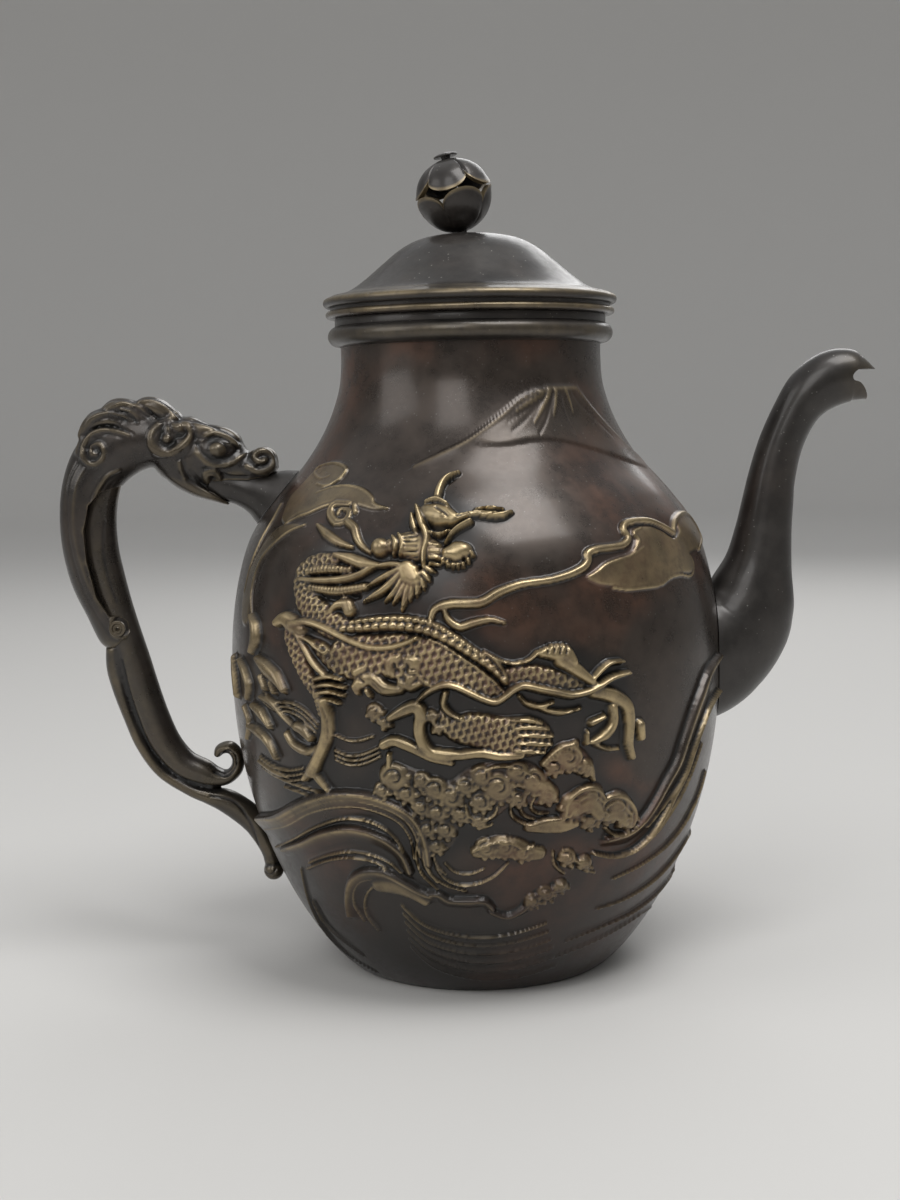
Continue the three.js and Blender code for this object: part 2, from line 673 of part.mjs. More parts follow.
// The stub on the shoulder that the dragon's mouth grips
const lugStations = [
  round(...onHead(12, -11.4), 5, 5),
  round(...onHead(16, -12.7), 5.6, 5.4),
  round(...onHead(22, -14.4), 6, 5.6),
  round(...onHandle(-9.9, drawn.lugUp), 7.8, 7),
  round(...onHandle(-15.4, drawn.lugUp - 2.4), 10.8, 9),
  round(...onHandle(-23.4, drawn.lugUp - 5.8), 14, 12),
];

const sheathPin = onHandle(38, 86.4);
const sheathPinReach = 7.2;

function lugShape() {
  return tube(lugStations, lugSteps, lugSides).subtract(bodySkin);
}

function barShape() {
  const [curlX, curlZ] = onFlank(handleFoot + tendrilCurl.up, tendrilCurl.out);
  const curl = solid(crossRod(curlX, curlZ, tendrilCurl.radius, tendrilCurl.halfWidth, 14));
  const hole = solid(crossRod(...sheathPin, sheathPinRadius + gap, 20));
  const whole = joined([
    tube(barStations, barSteps, barSides), tube(tendrilStations, tendrilSteps, barSides), curl,
  ]);
  return whole.subtract(hole).subtract(bodySkin);
}

// The dragon's head, built up as the founder's wax was: skull, jaw, brow, eyes, ears, nostrils and mane
const skullStations = [
  [...onHead(-3, 1.6), 9.4, 9.6, 9.4],
  [...onHead(2, -0.8), 11.6, 11.8, 10.4],
  [...onHead(9, -2.8), 10.6, 10.6, 10.4],
  [...onHead(15, -4), 10.4, 9.8, 9.6],
  [...onHead(19.5, -6.2), 8.2, 7.6, 8.4],
  [...onHead(23.5, -7.4), 5.8, 6, 7.6],
  [...onHead(28, -7.5), 4.8, 4.8, 7.2],
  [...onHead(32, -7.1), 4, 3.4, 6],
  [...onHead(34.2, -7.1), 1.6, 1.6, 3],
];
const jawStations = [
  [...onHead(-3, -7.4), 3, 3, 6],
  [...onHead(2, -10.6), 4, 3.8, 7.2],
  [...onHead(7, -14.2), 3.4, 3, 6.6],
  [...onHead(12.5, -16.8), 2.4, 2, 5.6],
  [...onHead(17.8, -19.4), 0.9, 0.9, 2.6],
];
const lockRoutes = [
  [[-1, 8.2], [-6, 12.6], [-10.6, 13.2], [-13.4, 11.6]],
  [[-7.5, 6], [-15.6, 11.8], [-20.4, 12], [-24, 9.4]],
  [[-15.6, 6.6], [-22.6, 8.6], [-28, 7], [-31, 3.2]],
  [[-13.6, 0.6], [-23.4, 3.8], [-29.6, 1], [-32, -4]],
];

const lockHalfWidth = 3;
const lockSpread = 5.6;

function lockShape(route, side) {
  const thick = [1.4, 2.6, 2.6, 1.4];
  const stations = route.map(([x, z], i) => round(...onHead(x, z), thick[i], lockHalfWidth));
  const lock = tube(stations, 5, 6);
  return lock.translate([0, side * lockSpread, 0]);
}

function headShape() {
  const parts = [tube(neckStations, 15, 10), tube(skullStations, 10, 10), tube(jawStations, 5, 6)];
  const [noseX, noseZ] = onHead(28.8, -6);
  const [earX, earZ] = onHead(-3.4, 1.4);
  const [voluteX, voluteZ] = onHead(-28, -2.4);
  parts.push(solid(crossRod(noseX, noseZ, 4.1, 8, 12)));
  parts.push(solid(crossRod(earX, earZ, 5.4, 11, 12)));
  parts.push(solid(crossRod(voluteX, voluteZ, 3.6, 9.4, 10)));
  for (const side of [-1, 1]) {
    const [eyeX, eyeZ] = onHead(14.6, -1.2);
    const [browX, browZ] = onHead(12.4, 3.4);
    parts.push(ball(eyeX, side * 8.9, eyeZ, 2.9, 1.8, 2));
    parts.push(ball(browX, side * 7, browZ, 8, 3.2, 3));
    for (const route of lockRoutes) parts.push(lockShape(route, side));
  }
  const mouth = tube(lugStations, lugSteps, lugSides, gap);
  const throat = tube(mouthStations(), 5, 8);
  const channel = tube(barStations, barSteps, barSides, gap)
    .add(tube(tendrilStations, tendrilSteps, barSides, gap));
  const openFace = slab(sheathEdge(), 14);
  const hole = solid(crossRod(...sheathPin, sheathPinRadius + gap, 20));
  const cut = joined([mouth, throat, channel, openFace, hole, bodySkin]);
  return joined(parts).subtract(cut);
}

// The open mouth, from its corner to past the lips
function mouthStations() {
  return [
    round(...onHead(9, -12.6), 0.8, 9),
    round(...onHead(14, -14.8), 1.8, 12),
    round(...onHead(20, -16.6), 3, 12),
    round(...onHead(28, -20), 6, 12),
  ];
}

// The sheath shows the bar on its inner side: what lies inside this edge is open
function sheathEdge() {
  return [
    [36.2, 134.2], [42.2, 132.2], [46.2, 128], [48.2, 119.3], [47.6, 109.1],
    [44.8, 97], [40.8, 90.4], [37, 90.4], [34.6, 88.4], [34.2, 85],
    [36, 81.6], [36.4, 75], [21.6, 75], [21.6, 134],
  ].map(([out, up]) => onHandle(out, up));
}

function sheathPinShape() {
  const [x, z] = sheathPin;
  const headMiddle = sheathPinReach + gap + sheathPinProud / 2;
  const head = (side) => {
    const disc = crossRod(x, z, sheathPinHead, sheathPinProud / 2, 16);
    return solid(disc.translate(0, side * headMiddle, 0));
  };
  return joined([solid(crossRod(x, z, sheathPinRadius, headMiddle, 16)), head(-1), head(1)]);
}

// The assembly
const ewer = new THREE.Group();
ewer.add(
  meshOf('body_shell', castWhole.subtract(aboveCut), bronze),
  meshOf('neck_shell', castWhole.intersect(aboveCut), bronze),
  meshOf('base_plate', plateShape(), darkBronze),
  meshOf('mouth_ring', mouthRingShape(), darkBronze),
  meshOf('spout', spoutShape(), darkBronze),
  meshOf('handle_lug', lugShape(), darkBronze),
  meshOf('dragon_head', headShape(), rubbedBronze),
  meshOf('handle_branch', barShape(), bronze),
  meshOf('sheath_pin', sheathPinShape(), rubbedBronze),
);

const lid = new THREE.Group();
lid.position.set(0, 0, lidSeat);
lid.add(
  meshOf('lid_dome', domeShape(), darkBronze),
  meshOf('lid_seat_ring', seatRingShape(), rubbedBronze),
  meshOf('lid_bezel', bezelShape(), darkBronze),
  meshOf('bud_washer', budWasherShape(), darkBronze),
);

const bud = new THREE.Group();
bud.applyMatrix4(budPlace());
bud.add(
  meshOf('bud_cup', petalCap(-1, petalGap / 2 - petalTip), darkBronze),
  meshOf('bud_crown', petalCap(1, petalGap / 2 + petalTip), darkBronze),
  meshOf('bud_pin', budPinShape(), darkBronze),
);
lid.add(bud);
ewer.add(lid);

export default ewer;
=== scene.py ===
"""Dresses the packed ewer: the relief of the body, the sculpted handle, the lid and its bud."""

import math
from types import SimpleNamespace
from typing import NamedTuple

import bmesh
import bpy
import numpy as np
from bpy.props import FloatProperty, FloatVectorProperty, IntProperty, PointerProperty
from mathutils import Matrix, Vector


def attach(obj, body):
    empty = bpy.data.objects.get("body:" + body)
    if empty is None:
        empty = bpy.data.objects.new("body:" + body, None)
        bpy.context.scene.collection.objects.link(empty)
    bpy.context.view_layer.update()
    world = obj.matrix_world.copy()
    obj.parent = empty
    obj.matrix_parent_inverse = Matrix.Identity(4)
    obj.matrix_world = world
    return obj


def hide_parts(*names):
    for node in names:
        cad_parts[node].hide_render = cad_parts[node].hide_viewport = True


bl_info = {
    "name": "Bronze Dragon Ewer",
    "version": (1, 0, 0),
    "blender": (4, 5, 0),
    "location": "3D View > Sidebar > Ewer",
    "description": "Dresses the packed ewer in cast, patinated and rubbed bronze",
    "category": "Object",
}

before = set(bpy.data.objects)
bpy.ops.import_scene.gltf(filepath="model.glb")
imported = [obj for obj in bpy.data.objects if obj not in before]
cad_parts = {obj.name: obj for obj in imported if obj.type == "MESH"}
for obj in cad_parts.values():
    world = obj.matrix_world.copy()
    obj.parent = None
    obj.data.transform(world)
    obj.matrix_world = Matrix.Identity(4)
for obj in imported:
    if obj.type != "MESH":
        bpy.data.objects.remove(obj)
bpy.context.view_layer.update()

MM = 0.001
PHOTO_WIDTH = 900
PHOTO_HEIGHT = 1200
FOCAL_PIXELS = 1760.0
SENSOR = 36.0
EWER = "ewer"
LID = "lid"
ON_AXIS = 1e-6


# The sizes and colours that a user would change

def number(name, description, default, low=0.0, **settings):
    return FloatProperty(name=name, description=description, default=default, min=low, **settings)


def length(name, description, default, low=0.0):
    return number(name, description, default, low, unit="LENGTH", subtype="DISTANCE", precision=4)


def share(name, description, default, high=1.0):
    return number(name, description, default, max=high, subtype="FACTOR")


def angle(name, description, degrees):
    return FloatProperty(name=name, description=description, default=math.radians(degrees), subtype="ANGLE")


def colour(name, description, default):
    return FloatVectorProperty(name=name, description=description, default=default, size=3,
                               min=0.0, max=1.0, subtype="COLOR")


class EwerBodySizes(bpy.types.PropertyGroup):
    """The pear-shaped body and its relief"""
    belly_radius: length("Belly radius", "Widest radius of the body", 0.0824)
    belly_height: length("Belly height", "Height of the widest place", 0.1)
    foot_radius: length("Foot radius", "Radius of the foot ring", 0.044)
    foot_width: length("Foot ring width", "How wide the foot ring is where it stands", 0.0035)
    neck_radius: length("Neck radius", "Outer radius of the neck", 0.0434)
    neck_height: length("Neck height", "Height at which the shoulder has become the neck", 0.204)
    neck_top: length("Neck top", "Height of the upper edge of the neck", 0.214)
    wall: length("Wall", "Thickness of the cast wall", 0.0024)
    relief: share("Relief", "How far the relief stands proud, as a share of the real one", 1.0, 1.3)
    fine_step: length("Fine step", "Fineness of the skin where the dragon lies", 0.0004)
    plain_step: length("Plain step", "Fineness of the skin round it", 0.0007)
    back_step: length("Back step", "Fineness of the far side", 0.0013)


class EwerLidSizes(bpy.types.PropertyGroup):
    """The mouth ring, the lid and its bud"""
    seat_height: length("Seat height", "Height at which the lid sits", 0.2173)
    bead_radius: length("Bead radius", "Radius of the bead round the lid", 0.049)
    bead_thickness: length("Bead thickness", "Thickness of the bead round the lid", 0.0032)
    ring_radius: length("Lower ring radius", "Radius of the ring under the lid", 0.0482)
    ring_height: length("Lower ring height", "Height of the ring under the lid", 0.0026)
    groove_radius: length("Groove radius", "Radius of the groove between the beads", 0.0466)
    groove_height: length("Groove height", "Height of the groove between the beads", 0.0009)
    dome_rise: length("Dome rise", "Height of the dome over its bead", 0.0209)
    collar_radius: length("Collar radius", "Radius of the mouth ring", 0.0476)
    bud_radius: length("Bud radius", "Radius of the bud", 0.0124)
    bud_lean: angle("Bud lean", "How far the bud leans towards the handle", 12)
    petals: IntProperty(name="Petals", description="Petals in each half of the bud", default=5, min=3)


class EwerSpoutSizes(bpy.types.PropertyGroup):
    """The gooseneck spout"""
    reach: length("Reach", "How far the spout reaches past the belly", 0.0536)
    rise: length("Rise", "Height of the spout over its root", 0.126)
    root_height: length("Root height", "Height that the spout is set out from", 0.078)
    wall: length("Wall", "Thickness of the spout", 0.0018)


class EwerHandleSizes(bpy.types.PropertyGroup):
    """The dragon's head, the sheath, the bar and the tendril"""
    grain: length("Grain", "Fineness of the sculpted skin", 0.0005)
    carving: share("Carving", "Depth of the chased lines, as a share of the real ones", 0.7, 1.5)
    pin_head: length("Pin head", "Radius of the ringed boss on the sheath", 0.0028)


class EwerFinish(bpy.types.PropertyGroup):
    """The patina, what the hand has rubbed bright, and the painted shade on the body"""
    brown: colour("Brown patina", "Ground of the body", (0.046, 0.035, 0.028))
    russet: colour("Russet patina", "Reddish patches in the ground", (0.120, 0.054, 0.032))
    dark: colour("Dark patina", "Spout, lid and bud", (0.038, 0.034, 0.031))
    # Dark patina in the hollows, and on the body also painted shade round the relief, under the scales and low down.
    recess_and_shade_colour: colour("Recess", "What lies deep in the relief", (0.008, 0.007, 0.006))
    brass: colour("Rubbed brass", "What the hand has rubbed bright", (0.420, 0.325, 0.180))
    dust: colour("Dust", "Fine dust on the patina", (0.26, 0.25, 0.23))
    gloss: share("Roughness", "Roughness of the waxed patina", 0.30)


class EwerStageSizes(bpy.types.PropertyGroup):
    """Floor, lamps and camera"""
    camera_distance: length("Camera distance", "In front of the ewer's axis", 0.596)
    camera_side: length("Camera side", "Sideways from the axis", -0.0083, -1.0)
    camera_height: length("Camera height", "Over the floor", 0.186)
    camera_pitch: angle("Camera pitch", "How far the camera looks down", 6.1)
    camera_roll: angle("Camera roll", "How far the camera leans", -1.0)
    floor: colour("Floor", "Plain pale floor and backdrop", (0.62, 0.61, 0.59))
    key: number("Key lamp", "Power of the soft lamp overhead", 7.5, unit="POWER")
    fill: number("Fill lamp", "Power of the soft lamps at the sides", 4.0, unit="POWER")
    sky: number("Sky", "Strength of the even light from all round", 0.5)


PROPERTY_GROUPS = {
    "ewer_body": EwerBodySizes,
    "ewer_lid": EwerLidSizes,
    "ewer_spout": EwerSpoutSizes,
    "ewer_handle": EwerHandleSizes,
    "ewer_finish": EwerFinish,
    "ewer_stage": EwerStageSizes,
}


def sizes(*names):
    """The values of the property groups named: lengths as plain millimetres, the rest as they are."""
    groups = []
    for name in names:
        group, values = getattr(bpy.context.scene, "ewer_" + name), {}
        for key, prop in group.bl_rna.properties.items():
            if key not in ("rna_type", "name"):
                value = getattr(group, key)
                values[key] = value / MM if prop.unit == "LENGTH" else value
        groups.append(SimpleNamespace(**values))
    return groups


# Lines and skins, in millimetres

def smooth_line(points, per_span=8):
    """A smooth line through the points."""
    points = np.asarray(points, float)
    padded = np.vstack([points[:1], points, points[-1:]])
    t = np.linspace(0, 1, per_span, endpoint=False)[:, None]
    spans = []
    for before, start, end, after in zip(padded, padded[1:], padded[2:], padded[3:]):
        pull, push = (end - before) / 2, (after - start) / 2
        spans.append((2 * start - 2 * end + pull + push) * t ** 3
                     + (-3 * start + 3 * end - 2 * pull - push) * t ** 2 + pull * t + start)
    return np.vstack([*spans, points[-1:]])


def spaced(line, step):
    """The line with its points an even step apart."""
    run = np.concatenate([[0], np.cumsum(np.linalg.norm(np.diff(line, axis=0), axis=1))])
    count = max(int(round(run[-1] / step)), 2)
    at = np.linspace(0, run[-1], count + 1)
    return np.column_stack([np.interp(at, run, column) for column in line.T])


def resampled(line, steps):
    """The line cut into that many steps, by the number of its points and not by its length."""
    at = np.linspace(0, len(line) - 1, steps + 1)
    return np.column_stack([np.interp(at, np.arange(len(line)), column) for column in line.T])


def unit(vectors):
    """The vectors, each made one long."""
    return vectors / np.maximum(np.linalg.norm(vectors, axis=1), 1e-9)[:, None]


def softened(outline, radius, steps=4, closed=True):
    """The outline with each corner rounded."""
    outline = np.asarray(outline, float)
    count = len(outline)
    made = []
    for i, corner in enumerate(outline):
        if not closed and i in (0, count - 1):
            made.append(corner)
            continue
        start, end = (corner + away * min(radius / max(np.linalg.norm(away), 1e-9), 0.45)
                      for away in (outline[i - 1] - corner, outline[(i + 1) % count] - corner))
        for t in np.linspace(0, 1, steps + 1):
            made.append((1 - t) ** 2 * start + 2 * t * (1 - t) * corner + t ** 2 * end)
    return np.array(made)


def even_turns(count):
    return 2 * np.pi * np.arange(count) / count


def arc(centre_r, centre_z, radius, first, last, steps):
    turn = np.radians(np.linspace(first, last, steps + 1))
    return [(centre_r + radius * math.cos(a), centre_z + radius * math.sin(a)) for a in turn]


def make_object(name, points, faces, sharp=None):
    """A mesh object from points in millimetres."""
    mesh = bpy.data.meshes.new(name)
    mesh.from_pydata((np.asarray(points) * MM).tolist(), [], [list(map(int, f)) for f in faces])
    mesh.validate()
    made = bpy.data.objects.new(name, mesh)
    bpy.context.scene.collection.objects.link(made)
    return smooth_edges(made, sharp)


def smooth_edges(made, sharp=None):
    """Smooth shading, with edges sharper than the angle in degrees left crisp."""
    made.data.shade_smooth()
    if sharp:
        made.data.set_sharp_from_angle(angle=math.radians(sharp))
    return made


def grid_faces(rows, columns, closed_rows=False):
    """Quads of a grid whose columns run round; the rows too where they are closed."""
    row = np.arange(rows if closed_rows else rows - 1)[:, None]
    column = np.arange(columns)[None, :]
    here, next_row = row * columns, ((row + 1) % rows) * columns
    after = (column + 1) % columns
    return np.stack([here + column, here + after, next_row + after, next_row + column], -1).reshape(-1, 4)


def swept(outline, turn):
    """Points of an outline of radius and height at each turn about Z, in rows and columns."""
    flat = outline[:, None, :1] * np.stack([np.cos(turn), np.sin(turn)], -1)
    return np.concatenate([flat, np.repeat(outline[:, None, 1:], len(turn), axis=1)], axis=2)


def capped(rings, low, high):
    """Points and faces of rings, with a fan from the first to the low point and from the last to the high one."""
    rows, sides = rings.shape[:2]
    faces = grid_faces(rows, sides).tolist()
    last = (rows - 1) * sides
    for k in range(sides):
        after = (k + 1) % sides
        faces += [[rows * sides, after, k], [rows * sides + 1, last + k, last + after]]
    return np.vstack([rings.reshape(-1, 3), low, high]), faces


def turned(name, outline, columns=192, sharp=38):
    """A solid of revolution about Z from a closed outline of radius and height, or one that ends on the axis."""
    outline = np.asarray(outline, float)
    area = np.sum(outline[:, 0] * np.roll(outline[:, 1], -1) - np.roll(outline[:, 0], -1) * outline[:, 1])
    if area < 0:
        outline = outline[::-1]
    turn = even_turns(columns)
    if not (outline[:, 0] <= ON_AXIS).any():
        return make_object(name, swept(outline, turn).reshape(-1, 3), grid_faces(len(outline), columns, True), sharp)
    while outline[0, 0] > ON_AXIS or outline[-1, 0] > ON_AXIS:
        outline = np.roll(outline, -1, axis=0)
    low, high = ([0, 0, outline[end, 1]] for end in (0, -1))
    return make_object(name, *capped(swept(outline[1:-1], turn), low, high), sharp)


def tube(stations, steps, sides, grow=0.0):
    """A tube along a route in the XZ plane; a station is x, z, left depth, right depth and half-width."""
    line = resampled(smooth_line(stations, 24), steps)
    centre = line[:, :2]
    along = unit(np.gradient(centre, axis=0))
    left = np.stack([-along[:, 1], along[:, 0]], -1)
    turn = even_turns(sides)
    depth = np.where(np.cos(turn)[None] > 0, line[:, 2:3], line[:, 3:4])
    across = np.cos(turn)[None] * (np.maximum(depth, 0.25) + grow)
    rings = np.empty((steps + 1, sides, 3))
    rings[..., 0] = centre[:, None, 0] + left[:, None, 0] * across
    rings[..., 2] = centre[:, None, 1] + left[:, None, 1] * across
    rings[..., 1] = np.sin(turn)[None] * (np.maximum(line[:, 4:5], 0.25) + grow)
    return capped(rings, rings[0].mean(0), rings[-1].mean(0))


def round_tube(points, radii, steps, sides):
    """A tube along any line of points, with a radius at each."""
    line = resampled(smooth_line(np.column_stack([points, radii])), steps)
    radius = np.maximum(line[:, 3], 0.12)[:, None, None]
    along = unit(np.gradient(line[:, :3], axis=0))
    first = np.cross(along, [0.0, 1.0, 0.0])
    weak = np.linalg.norm(first, axis=1) < 0.2
    first[weak] = np.cross(along[weak], [1.0, 0.0, 0.0])
    first = unit(first)
    second = np.cross(along, first)
    turn = even_turns(sides)[None, :, None]
    rings = line[:, None, :3] + radius * (np.cos(turn) * first[:, None] + np.sin(turn) * second[:, None])
    return capped(rings, rings[0].mean(0), rings[-1].mean(0))


def egg(centre, radii, tilt=0.0, sides=28, rows=16):
    """An ellipsoid, tilted in the XZ plane."""
    latitude = np.linspace(-np.pi / 2, np.pi / 2, rows + 1)[1:-1]
    ball = swept(np.column_stack([np.cos(latitude), np.sin(latitude)]), even_turns(sides))
    points, faces = capped(ball, (0, 0, -1), (0, 0, 1))
    points = points * np.asarray(radii, float)
    cos, sin = math.cos(math.radians(tilt)), math.sin(math.radians(tilt))
    x, z = points[:, 0] * cos - points[:, 2] * sin, points[:, 0] * sin + points[:, 2] * cos
    points[:, 0], points[:, 2] = x, z
    return points + np.asarray(centre, float), faces


def joined(parts):
    """Several points-and-faces pairs as one."""
    points, faces, start = [], [], 0
    for part_points, part_faces in parts:
        points.append(part_points)
        faces.extend([[start + k for k in face] for face in part_faces])
        start += len(part_points)
    return np.vstack(points), faces


def mirrored(part):
    """The part on the other side of Y, with its faces turned to stay outward."""
    points, faces = part
    return points * [1, -1, 1], [list(face)[::-1] for face in faces]


def with_modifier(made, kind, **settings):
    """Applies one modifier to the object's mesh."""
    modifier = made.modifiers.new(kind.title(), kind)
    for key, value in settings.items():
        setattr(modifier, key, value)
    graph = bpy.context.evaluated_depsgraph_get()
    result = bpy.data.meshes.new_from_object(made.evaluated_get(graph), depsgraph=graph)
    made.modifiers.clear()
    old = made.data
    made.data = result
    bpy.data.meshes.remove(old)
    if not len(result.polygons):
        raise RuntimeError(f"{made.name} came out empty after {kind}")
    result.name = made.name
    return made


def cut_by(made, *cutters, operation="DIFFERENCE"):
    """Cuts the object by others, which are then removed."""
    for cutter in cutters:
        with_modifier(made, "BOOLEAN", operation=operation, object=cutter, solver="MANIFOLD")
        bpy.data.objects.remove(cutter)
    return made


def mesh_values(items, name, width, kind=np.float32):
    flat = np.empty(len(items) * width, kind)
    items.foreach_get(name, flat)
    return flat.reshape(-1, width)


def vertex_points(mesh):
    return mesh_values(mesh.vertices, "co", 3).astype(float) / MM


def edge_pairs(mesh):
    return mesh_values(mesh.edges, "vertices", 2, np.int32)


def vertex_normals(mesh):
    return mesh_values(mesh.vertex_normals, "vector", 3).astype(float)


def set_points(mesh, points):
    mesh.vertices.foreach_set("co", (points * MM).astype(np.float32).ravel())
    mesh.update()


def set_attribute(mesh, name, values):
    found = mesh.attributes.get(name) or mesh.attributes.new(name, "FLOAT", "POINT")
    found.data.foreach_set("value", np.asarray(values, np.float32))


def averaged(values, pairs, rounds):
    """Values smoothed over neighbouring vertices."""
    values = np.asarray(values, float)
    count = np.bincount(pairs.ravel(), minlength=len(values)).astype(float)
    flat = values.reshape(len(values), -1)
    for _ in range(rounds):
        total = np.empty_like(flat)
        for k in range(flat.shape[1]):
            total[:, k] = (np.bincount(pairs[:, 0], flat[pairs[:, 1], k], len(flat))
                           + np.bincount(pairs[:, 1], flat[pairs[:, 0], k], len(flat)))
        flat = (flat + total) / (count[:, None] + 1)
    return flat.reshape(values.shape)


def smoothstep(low, high, values):
    t = np.clip((values - low) / (high - low), 0, 1)
    return t * t * (3 - 2 * t)


def mark_wear(mesh, reach=0.16, rounds=14):
    """Marks what stands out as worn and what lies low as deep, from how far each point is off its surroundings."""
    points, pairs = vertex_points(mesh), edge_pairs(mesh)
    smooth = averaged(points, pairs, rounds)
    proud = np.einsum("ij,ij->i", points - smooth, vertex_normals(mesh))
    proud = averaged(proud, pairs, 1)
    set_attribute(mesh, "worn", smoothstep(0.15 * reach, reach, proud))
    set_attribute(mesh, "deep", smoothstep(0.1 * reach, reach, -proud))


# The photograph's camera, which the relief's strokes are read through

# Shares of the camera's distance between which the skin is looked for, and in how many steps
SKIN_SEARCH = (0.78, 1.04, 260)


class PhotoCamera:
    """A pinhole camera that turns pixels of the photograph into places on the ewer."""

    def __init__(self, stage):
        cos, sin = math.cos(stage.camera_pitch), math.sin(stage.camera_pitch)
        self.forward = np.array([0, cos, -sin])
        level, upright = np.array([1.0, 0, 0]), np.array([0, sin, cos])
        cos, sin = math.cos(stage.camera_roll), math.sin(stage.camera_roll)
        self.right = cos * level + sin * upright
        self.up = cos * upright - sin * level
        self.place = np.array([stage.camera_side, -stage.camera_distance, stage.camera_height])

    def rays(self, pixels):
        pixels = np.asarray(pixels, float)
        across = (pixels[:, :1] - PHOTO_WIDTH / 2) / FOCAL_PIXELS
        down = (pixels[:, 1:2] - PHOTO_HEIGHT / 2) / FOCAL_PIXELS
        return self.forward + self.right * across - self.up * down

    def on_plane(self, pixels, depth):
        """Where the pixels meet the upright plane at that Y."""
        rays = self.rays(pixels)
        return self.place + rays * ((depth - self.place[1]) / rays[:, 1])[:, None]

    def on_skin(self, pixels, radius_at):
        """Where the pixels first meet the turned body, or its nearest place where they miss it."""
        rays = self.rays(pixels)
        along = np.linspace(*SKIN_SEARCH)[None, :] * -self.place[1]
        places = self.place + rays[:, None, :] * along[..., None]
        clear = np.hypot(places[..., 0], places[..., 1]) - radius_at(places[..., 2])
        hit = clear <= 0
        first = np.where(hit.any(1), hit.argmax(1), clear.argmin(1))
        rows = np.arange(len(rays))
        before = np.maximum(first - 1, 0)
        here, there = clear[rows, before], clear[rows, first]
        part = np.where(hit.any(1), here / np.maximum(here - there, 1e-9), 1.0)[:, None]
        found = places[rows, before] * (1 - part) + places[rows, first] * part
        radius = radius_at(found[:, 2])
        flat = np.hypot(found[:, 0], found[:, 1])
        found[:, :2] *= (radius / np.maximum(flat, 1e-9))[:, None]
        return found

    def pixel_size(self, places):
        """Millimetres to a pixel at each place."""
        return (places - self.place) @ self.forward / FOCAL_PIXELS

    def pixels(self, places):
        away = places - self.place
        depth = away @ self.forward
        return np.column_stack([PHOTO_WIDTH / 2 + FOCAL_PIXELS * (away @ self.right) / depth,
                                PHOTO_HEIGHT / 2 - FOCAL_PIXELS * (away @ self.up) / depth])


# Relief, laid down stroke by stroke

class Stroke(NamedTuple):
    """One stroke of the chaser, or a raised area whose half-width is that of its rounded edge"""
    form: str
    rise: float
    half: tuple
    points: tuple
    pitch: float = 0.0


def places(text):
    """Numbers that belong together are joined by commas, with a space between one place and the next."""
    return tuple(tuple(map(float, place.split(","))) for place in text.split())


def strokes(text):
    """A stroke a line: form and rise in millimetres|half-widths in pixels|pixels it runs through|pitch."""
    made = []
    for line in text.strip().splitlines():
        first, half, points, *pitch = line.split("|")
        form, rise = first.split()
        made.append(Stroke(form, float(rise), tuple(map(float, half.split())), places(points), *map(float, pitch)))
    return tuple(made)


def band(q):
    return np.sqrt(np.clip(1 - q ** 4, 0, 1))


def scale_pattern(along, across, pitch):
    """Overlapping round scales, each with a raised rim at its free edge, which looks along."""
    row, radius = 0.74 * pitch, 0.64 * pitch
    first = np.floor(along / row)
    found = np.zeros_like(along)
    bare = np.ones(len(along), bool)
    for step in (-1, 0, 1):
        number = first + step
        shift = 0.5 * (number % 2)
        u = along - number * row
        v = across - (np.round(across / pitch - shift) + shift) * pitch
        covers = bare & (u * u + v * v < radius * radius)
        rim = np.exp(-((np.hypot(u, v) / radius - 0.74) / 0.2) ** 2) * smoothstep(-0.5, 0.3, u / radius)
        found[covers] = (0.28 + 0.26 * (u / radius) + 0.5 * rim)[covers]
        bare &= ~covers
    return found


def scale_wear_and_shadow(scales):
    """Rubbed bright at the free edge of a scale; below nought at its root, which becomes painted shadow under the
    overlapping edge.
    """
    return np.clip(2.2 * scales - 0.55, -0.7, 1)


def rib_pattern(along, pitch):
    return np.abs(np.cos(np.pi * along / pitch))


